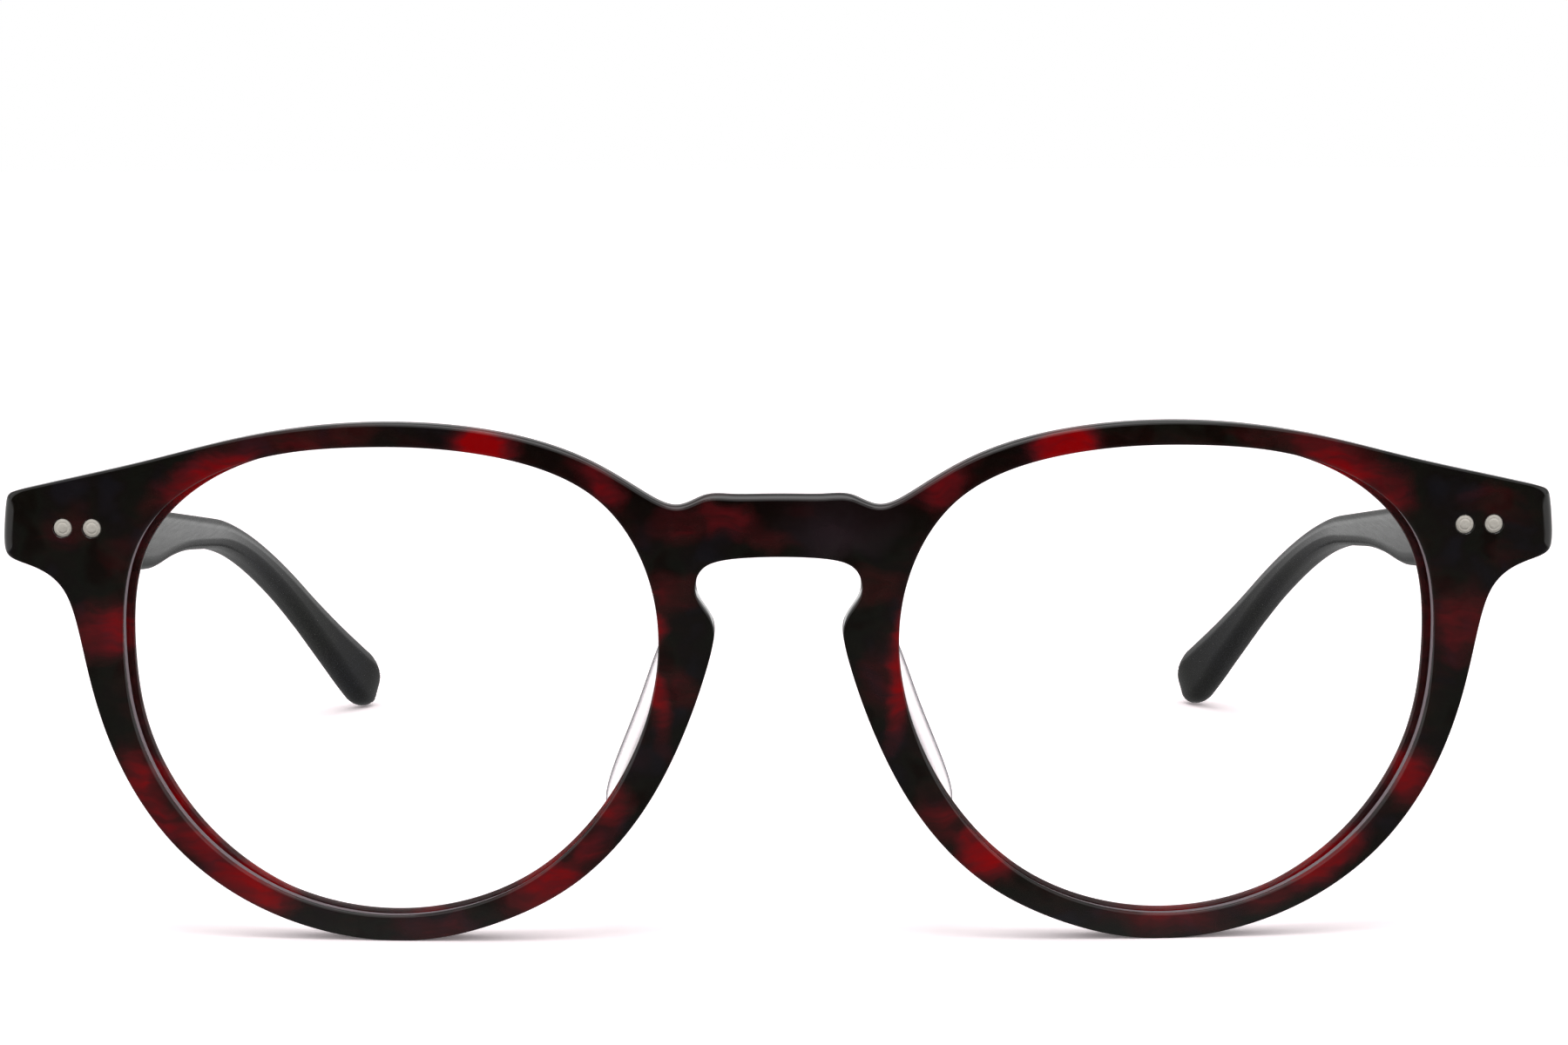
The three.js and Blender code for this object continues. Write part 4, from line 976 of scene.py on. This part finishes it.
def leaf_plate(low, high, hole_spots):
    """Stamped plate with rounded corners and round holes, eased round both faces. The corners
    are given as (along, up); its thickness runs from 0 to the leaf's."""
    corner, loop = LEAF_CORNER, []
    for k, (x, z) in enumerate(((high[0], high[1]), (low[0], high[1]), (low[0], low[1]),
                                (high[0], low[1]))):
        cx = x - math.copysign(corner, x - (low[0] + high[0]) / 2)
        cz = z - math.copysign(corner, z - (low[1] + high[1]) / 2)
        loop += [(cx + corner * math.cos(math.pi / 2 * (k + s / 6)),
                  cz + corner * math.sin(math.pi / 2 * (k + s / 6))) for s in range(7)]
    edge = (eased(LEAF_EASE, 0, steps=3)
            + eased(LEAF_EASE, LEAF_THICK, -1, steps=3)[::-1])
    return layered(
        [np.array(loop)] + [round_loop(x, z, RIVET_HOLE, 28) for x, z in hole_spots],
        [edge] + [hole_edge(LEAF_HOLE_EASE, LEAF_THICK)] * len(hole_spots), LEAF_GRID)


def webs(low, high, numbers):
    """Blocks that carry the numbered knuckles of a leaf, between two places (x, y)."""
    return [block((*low, (i - 2) * PITCH - KNUCKLE_HIGH / 2),
                  (*high, (i - 2) * PITCH + KNUCKLE_HIGH / 2), WEB_EASE) for i in numbers]


def make_hinge(side):
    """A five-knuckle hinge: both leaves, the screw and the rivets of the front leaf."""
    low = LEAF_SEAT - PIN_BACK
    span = LEAF_HIGH / 2
    # Front leaf: its plate lies against the back of the front; knuckles 0, 2 and 4 rise from it.
    spots = [(a - HINGE_ACROSS, RIVET_UP - HINGE_UP) for a in FRONT_RIVETS]
    points, faces = leaf_plate((-FRONT_LEAF, -span), (-KNUCKLE / 2, span), spots)
    points[:, 1] += low
    plate = tidy(mesh_from("leaf", points, faces), 30)
    rooms = [upright(KNUCKLE + KNUCKLE_CLEAR, (i - 2.5) * PITCH - KNUCKLE_GAP / 2,
                     (i - 1.5) * PITCH + KNUCKLE_GAP / 2) for i in (1, 3)]
    plate = carve(plate, *[tidy(room) for room in rooms])
    arms = webs((-KNUCKLE + WEB_PRESS, low), (-BORE - WEB_ROOM, 0), (0, 2, 4))
    barrels = grown(KNUCKLE_TREE, Count=3, First=-2 * PITCH, Pitch=2 * PITCH)
    mesh = tidy(joined(plate, *arms, barrels), 30, 1e-5)
    mesh.transform(AT_FRONT)
    show(f"front_leaf_{side}", mesh, LEAF, "front", side, [f"front_hinge_leaf_{side}"])

    # Temple leaf: let into the inner face of the temple, with knuckles 1 and 3.
    low = LEAF_SEAT - PIN_INNER
    start = KNUCKLE + KNUCKLE_CLEAR
    spots = [(a, 0) for a in TEMPLE_RIVETS]
    points, faces = leaf_plate((start, -span), (TEMPLE_LEAF, span), spots)
    points = np.stack([points[:, 1] + low, points[:, 0], points[:, 2]
                       - points[:, 0] * math.tan(SLOPE)], 1)
    plate = mesh_from("leaf", points, faces)
    arms = webs((low, BORE + WEB_ROOM), (low + LEAF_THICK, start + 2 * KNUCKLE_CLEAR), (1, 3))
    barrels = grown(KNUCKLE_TREE, Count=2, First=-PITCH, Pitch=2 * PITCH)
    mesh = tidy(joined(plate, *arms, barrels), 30, 1e-5)
    mesh.transform(AT_TEMPLE)
    show(f"temple_leaf_{side}", mesh, LEAF, f"temple_{side}_arm", side,
         [f"temple_hinge_leaf_{side}"])

    # Screw: the hinge's pin, with a slotted cheese head on top.
    top = HINGE_HIGH / 2 + KNUCKLE_GAP
    crown = top + HEAD_HIGH
    shank = lathe([
        (0, -HINGE_HIGH / 2), (PIN - PIN_EASE, -HINGE_HIGH / 2),
        (PIN, PIN_EASE - HINGE_HIGH / 2),
        (PIN, top), (HEAD_RADIUS - .05, top), (HEAD_RADIUS, top + .05),
        (HEAD_RADIUS, crown - .14), (HEAD_RADIUS - .05, crown - .06),
        (HEAD_RADIUS - .16, crown - .01), (0, crown)], 48)
    slit = block((-2 * HEAD_RADIUS, -SLOT_WIDE / 2, crown - SLOT_DEEP),
                 (2 * HEAD_RADIUS, SLOT_WIDE / 2, crown + HEAD_HIGH))
    mesh = tidy(carve(tidy(shank), slit), 30, 1e-5)
    mesh.transform(AT_FRONT)
    show(f"hinge_pin_{side}", mesh, STEEL, "front", side, [f"hinge_screw_{side}"])

    # The two rivets through the end piece and its leaf.
    ends = [Vector(wrapped([(a, 0, RIVET_UP)])[0]) for a in FRONT_RIVETS]
    turn = sum(FRONT_RIVETS) / 2 / WRAP
    back = Vector((-math.sin(turn), math.cos(turn), 0))
    long = FRONT_THICK + LEAF_SEAT + LEAF_THICK - 2 * RIVET_FLUSH
    start = ends[0] + back * (RIVET_FLUSH + long / 2)
    mesh = tidy(grown(RIVET_TREE, Start=tuple(start), Step=tuple(ends[1] - ends[0]),
                      Turn=tuple(Euler((math.pi / 2, 0, turn))), Length=long), 30)
    show(f"front_rivets_{side}", mesh, FILED, "front", side,
         [f"front_rivet_{side}_{i}" for i in (1, 2)])


make_front()
for wearer_side in ("left", "right"):
    make_lens(wearer_side)
    make_pad(wearer_side)
    make_temple(wearer_side)
    make_hinge(wearer_side)


# ------------------------------------------------------------------ table, lamps and world
def make_table():
    """White table. The camera sees it lifted to white, with the shadows that fall on it kept.
    Reflections see a dark card ahead of the glasses, out of view, which widens away from them,
    grey just behind them, then white, fading far off; beside the card it is white."""
    material, add = new_material("white table paper")
    place = object_mm(add)
    grain = add("ShaderNodeTexNoise", {"Vector": place, "Scale": .8, "Detail": 3})
    tone = add("ShaderNodeValToRGB", (grain,), [(.3, "#f0eeef"), (.7, "#f3f2f2")])
    paper = add("ShaderNodeBsdfDiffuse", (tone,))
    # To the camera the paper is whiter than white, so that only the shadows are grey. The added
    # paper and the lift are pink: painted light that tints those shadows pink, as red light
    # through the acetate would.
    pink_shadow_paint = add("ShaderNodeBsdfDiffuse", (colour("#c9b7bc"),))
    lift = add("ShaderNodeEmission", (colour("#fff2f5"), .1))
    lift = add("ShaderNodeAddShader", (pink_shadow_paint, lift))
    seen = add("ShaderNodeAddShader", (paper, lift))
    spot = add("ShaderNodeSeparateXYZ", (place,)).outputs
    off = add("ShaderNodeMath", (spot["X"],), operation="ABSOLUTE")
    off = add("ShaderNodeMath", (spot["Y"], .5, off), operation="MULTIPLY_ADD")
    ahead = add("ShaderNodeMapRange", (spot["Y"], -70, -95, 0, 1))
    card = add("ShaderNodeMapRange", (spot["Y"], -250, -420, .07, 0))
    beside, behind, far = (
        add("ShaderNodeMapRange", fade, interpolation_type="SMOOTHSTEP") for fade in (
            (off, 90, 230, 1, 0), (spot["Y"], 200, 245, .27, 1), (spot["Y"], 290, 360, 0, .5)))
    dark = add("ShaderNodeMath", (ahead, far), operation="MAXIMUM")
    glow = add("ShaderNodeMix", {"Factor": dark, "A": behind, "B": card}, data_type="FLOAT")
    glow = add("ShaderNodeMix", {"Factor": beside, "A": .95, "B": glow}, data_type="FLOAT")
    mirror = add("ShaderNodeEmission", {"Strength": glow})
    path = add("ShaderNodeLightPath").outputs
    shade = add("ShaderNodeMixShader", (path["Is Glossy Ray"], paper, mirror))
    plain = add("ShaderNodeMath", (path["Is Camera Ray"], path["Is Transmission Ray"]),
                operation="MAXIMUM")
    add("ShaderNodeOutputMaterial", (add("ShaderNodeMixShader", (plain, shade, seen)),))
    corners = [(-1, -1), (1, -1), (1, 1), (-1, 1)]
    mesh = mesh_from("table", [(TABLE_HALF * x, TABLE_HALF * y, 0) for x, y in corners],
                     [(0, 1, 2, 3)])
    mesh.materials.append(material)
    table = placed("table", mesh)


def make_world():
    """White all round for the camera and through the lenses. In reflections it is white behind
    the glasses, grey at their sides and pale in front."""
    world = bpy.data.worlds.new("white room")
    bpy.context.scene.world = world
    world.use_nodes = True
    world.node_tree.nodes.clear()
    add = partial(add_node, world.node_tree)
    way = add("ShaderNodeTexCoord").outputs["Generated"]
    way = add("ShaderNodeSeparateXYZ", (way,)).outputs
    ahead = add("ShaderNodeMapRange", (way["Y"], -1, 1, 0, 1))
    room = add("ShaderNodeValToRGB", (ahead,), [
        (0, "#e8e8e8"), (.2, "#ffffff"), (.38, "#d0d0d0"), (.6, "#b0b0b0"), (.8, "#d0d0d0"),
        (.93, "#c0c0c0"), (1, "#b4b4b4")])
    # A dark curtain hangs low behind, paler at its foot: the tops of the rims mirror it.
    aside = add("ShaderNodeMath", (way["X"],), operation="ABSOLUTE")
    curtain = 1.0
    for fade in ((way["Z"], .13, .3, 1, 0), (way["Z"], .05, .18, .15, 1),
                 (way["Y"], .5, .8, 0, 1), (aside, .3, .42, 1, 0)):
        fade = add("ShaderNodeMapRange", fade, interpolation_type="SMOOTHSTEP")
        curtain = add("ShaderNodeMath", (curtain, fade), operation="MULTIPLY")
    mirrored_room, lit = (
        add("ShaderNodeBackground", (add("ShaderNodeMix", {
            "Factor": curtain, "A": plain, "B": colour("#1c1c1e")},
            data_type="RGBA").outputs["Result"], strength))
        for plain, strength in ((room, 1.0), (colour("#ffffff"), .74)))
    white = add("ShaderNodeBackground", (colour("#ffffff"), 1.0))
    path = add("ShaderNodeLightPath").outputs
    shade = add("ShaderNodeMixShader", (path["Is Glossy Ray"], lit, mirrored_room))
    plain = add("ShaderNodeMath", (path["Is Camera Ray"], path["Is Transmission Ray"]),
                operation="MAXIMUM")
    shade = add("ShaderNodeMixShader", (plain, shade, white))
    add("ShaderNodeOutputWorld", (shade,))


def make_lamp(name, spot, wide, high, watts):
    data = bpy.data.lights.new(name, "AREA")
    data.shape, data.size, data.size_y, data.energy = "RECTANGLE", wide, high, watts
    lamp = placed(name, data)
    lamp.matrix_world = Matrix.Translation(spot) @ (-Vector(spot)).to_track_quat(
        "-Z", "Y").to_matrix().to_4x4()


make_table()
make_world()
make_lamp("softbox above", (0, -.2, .8), .5, .4, 1.5)
for name, across in (("softbox left", -.7), ("softbox right", .7)):
    make_lamp(name, (across, -.25, .35), .3, .5, .3)
bpy.context.scene.view_settings.view_transform = "Standard"
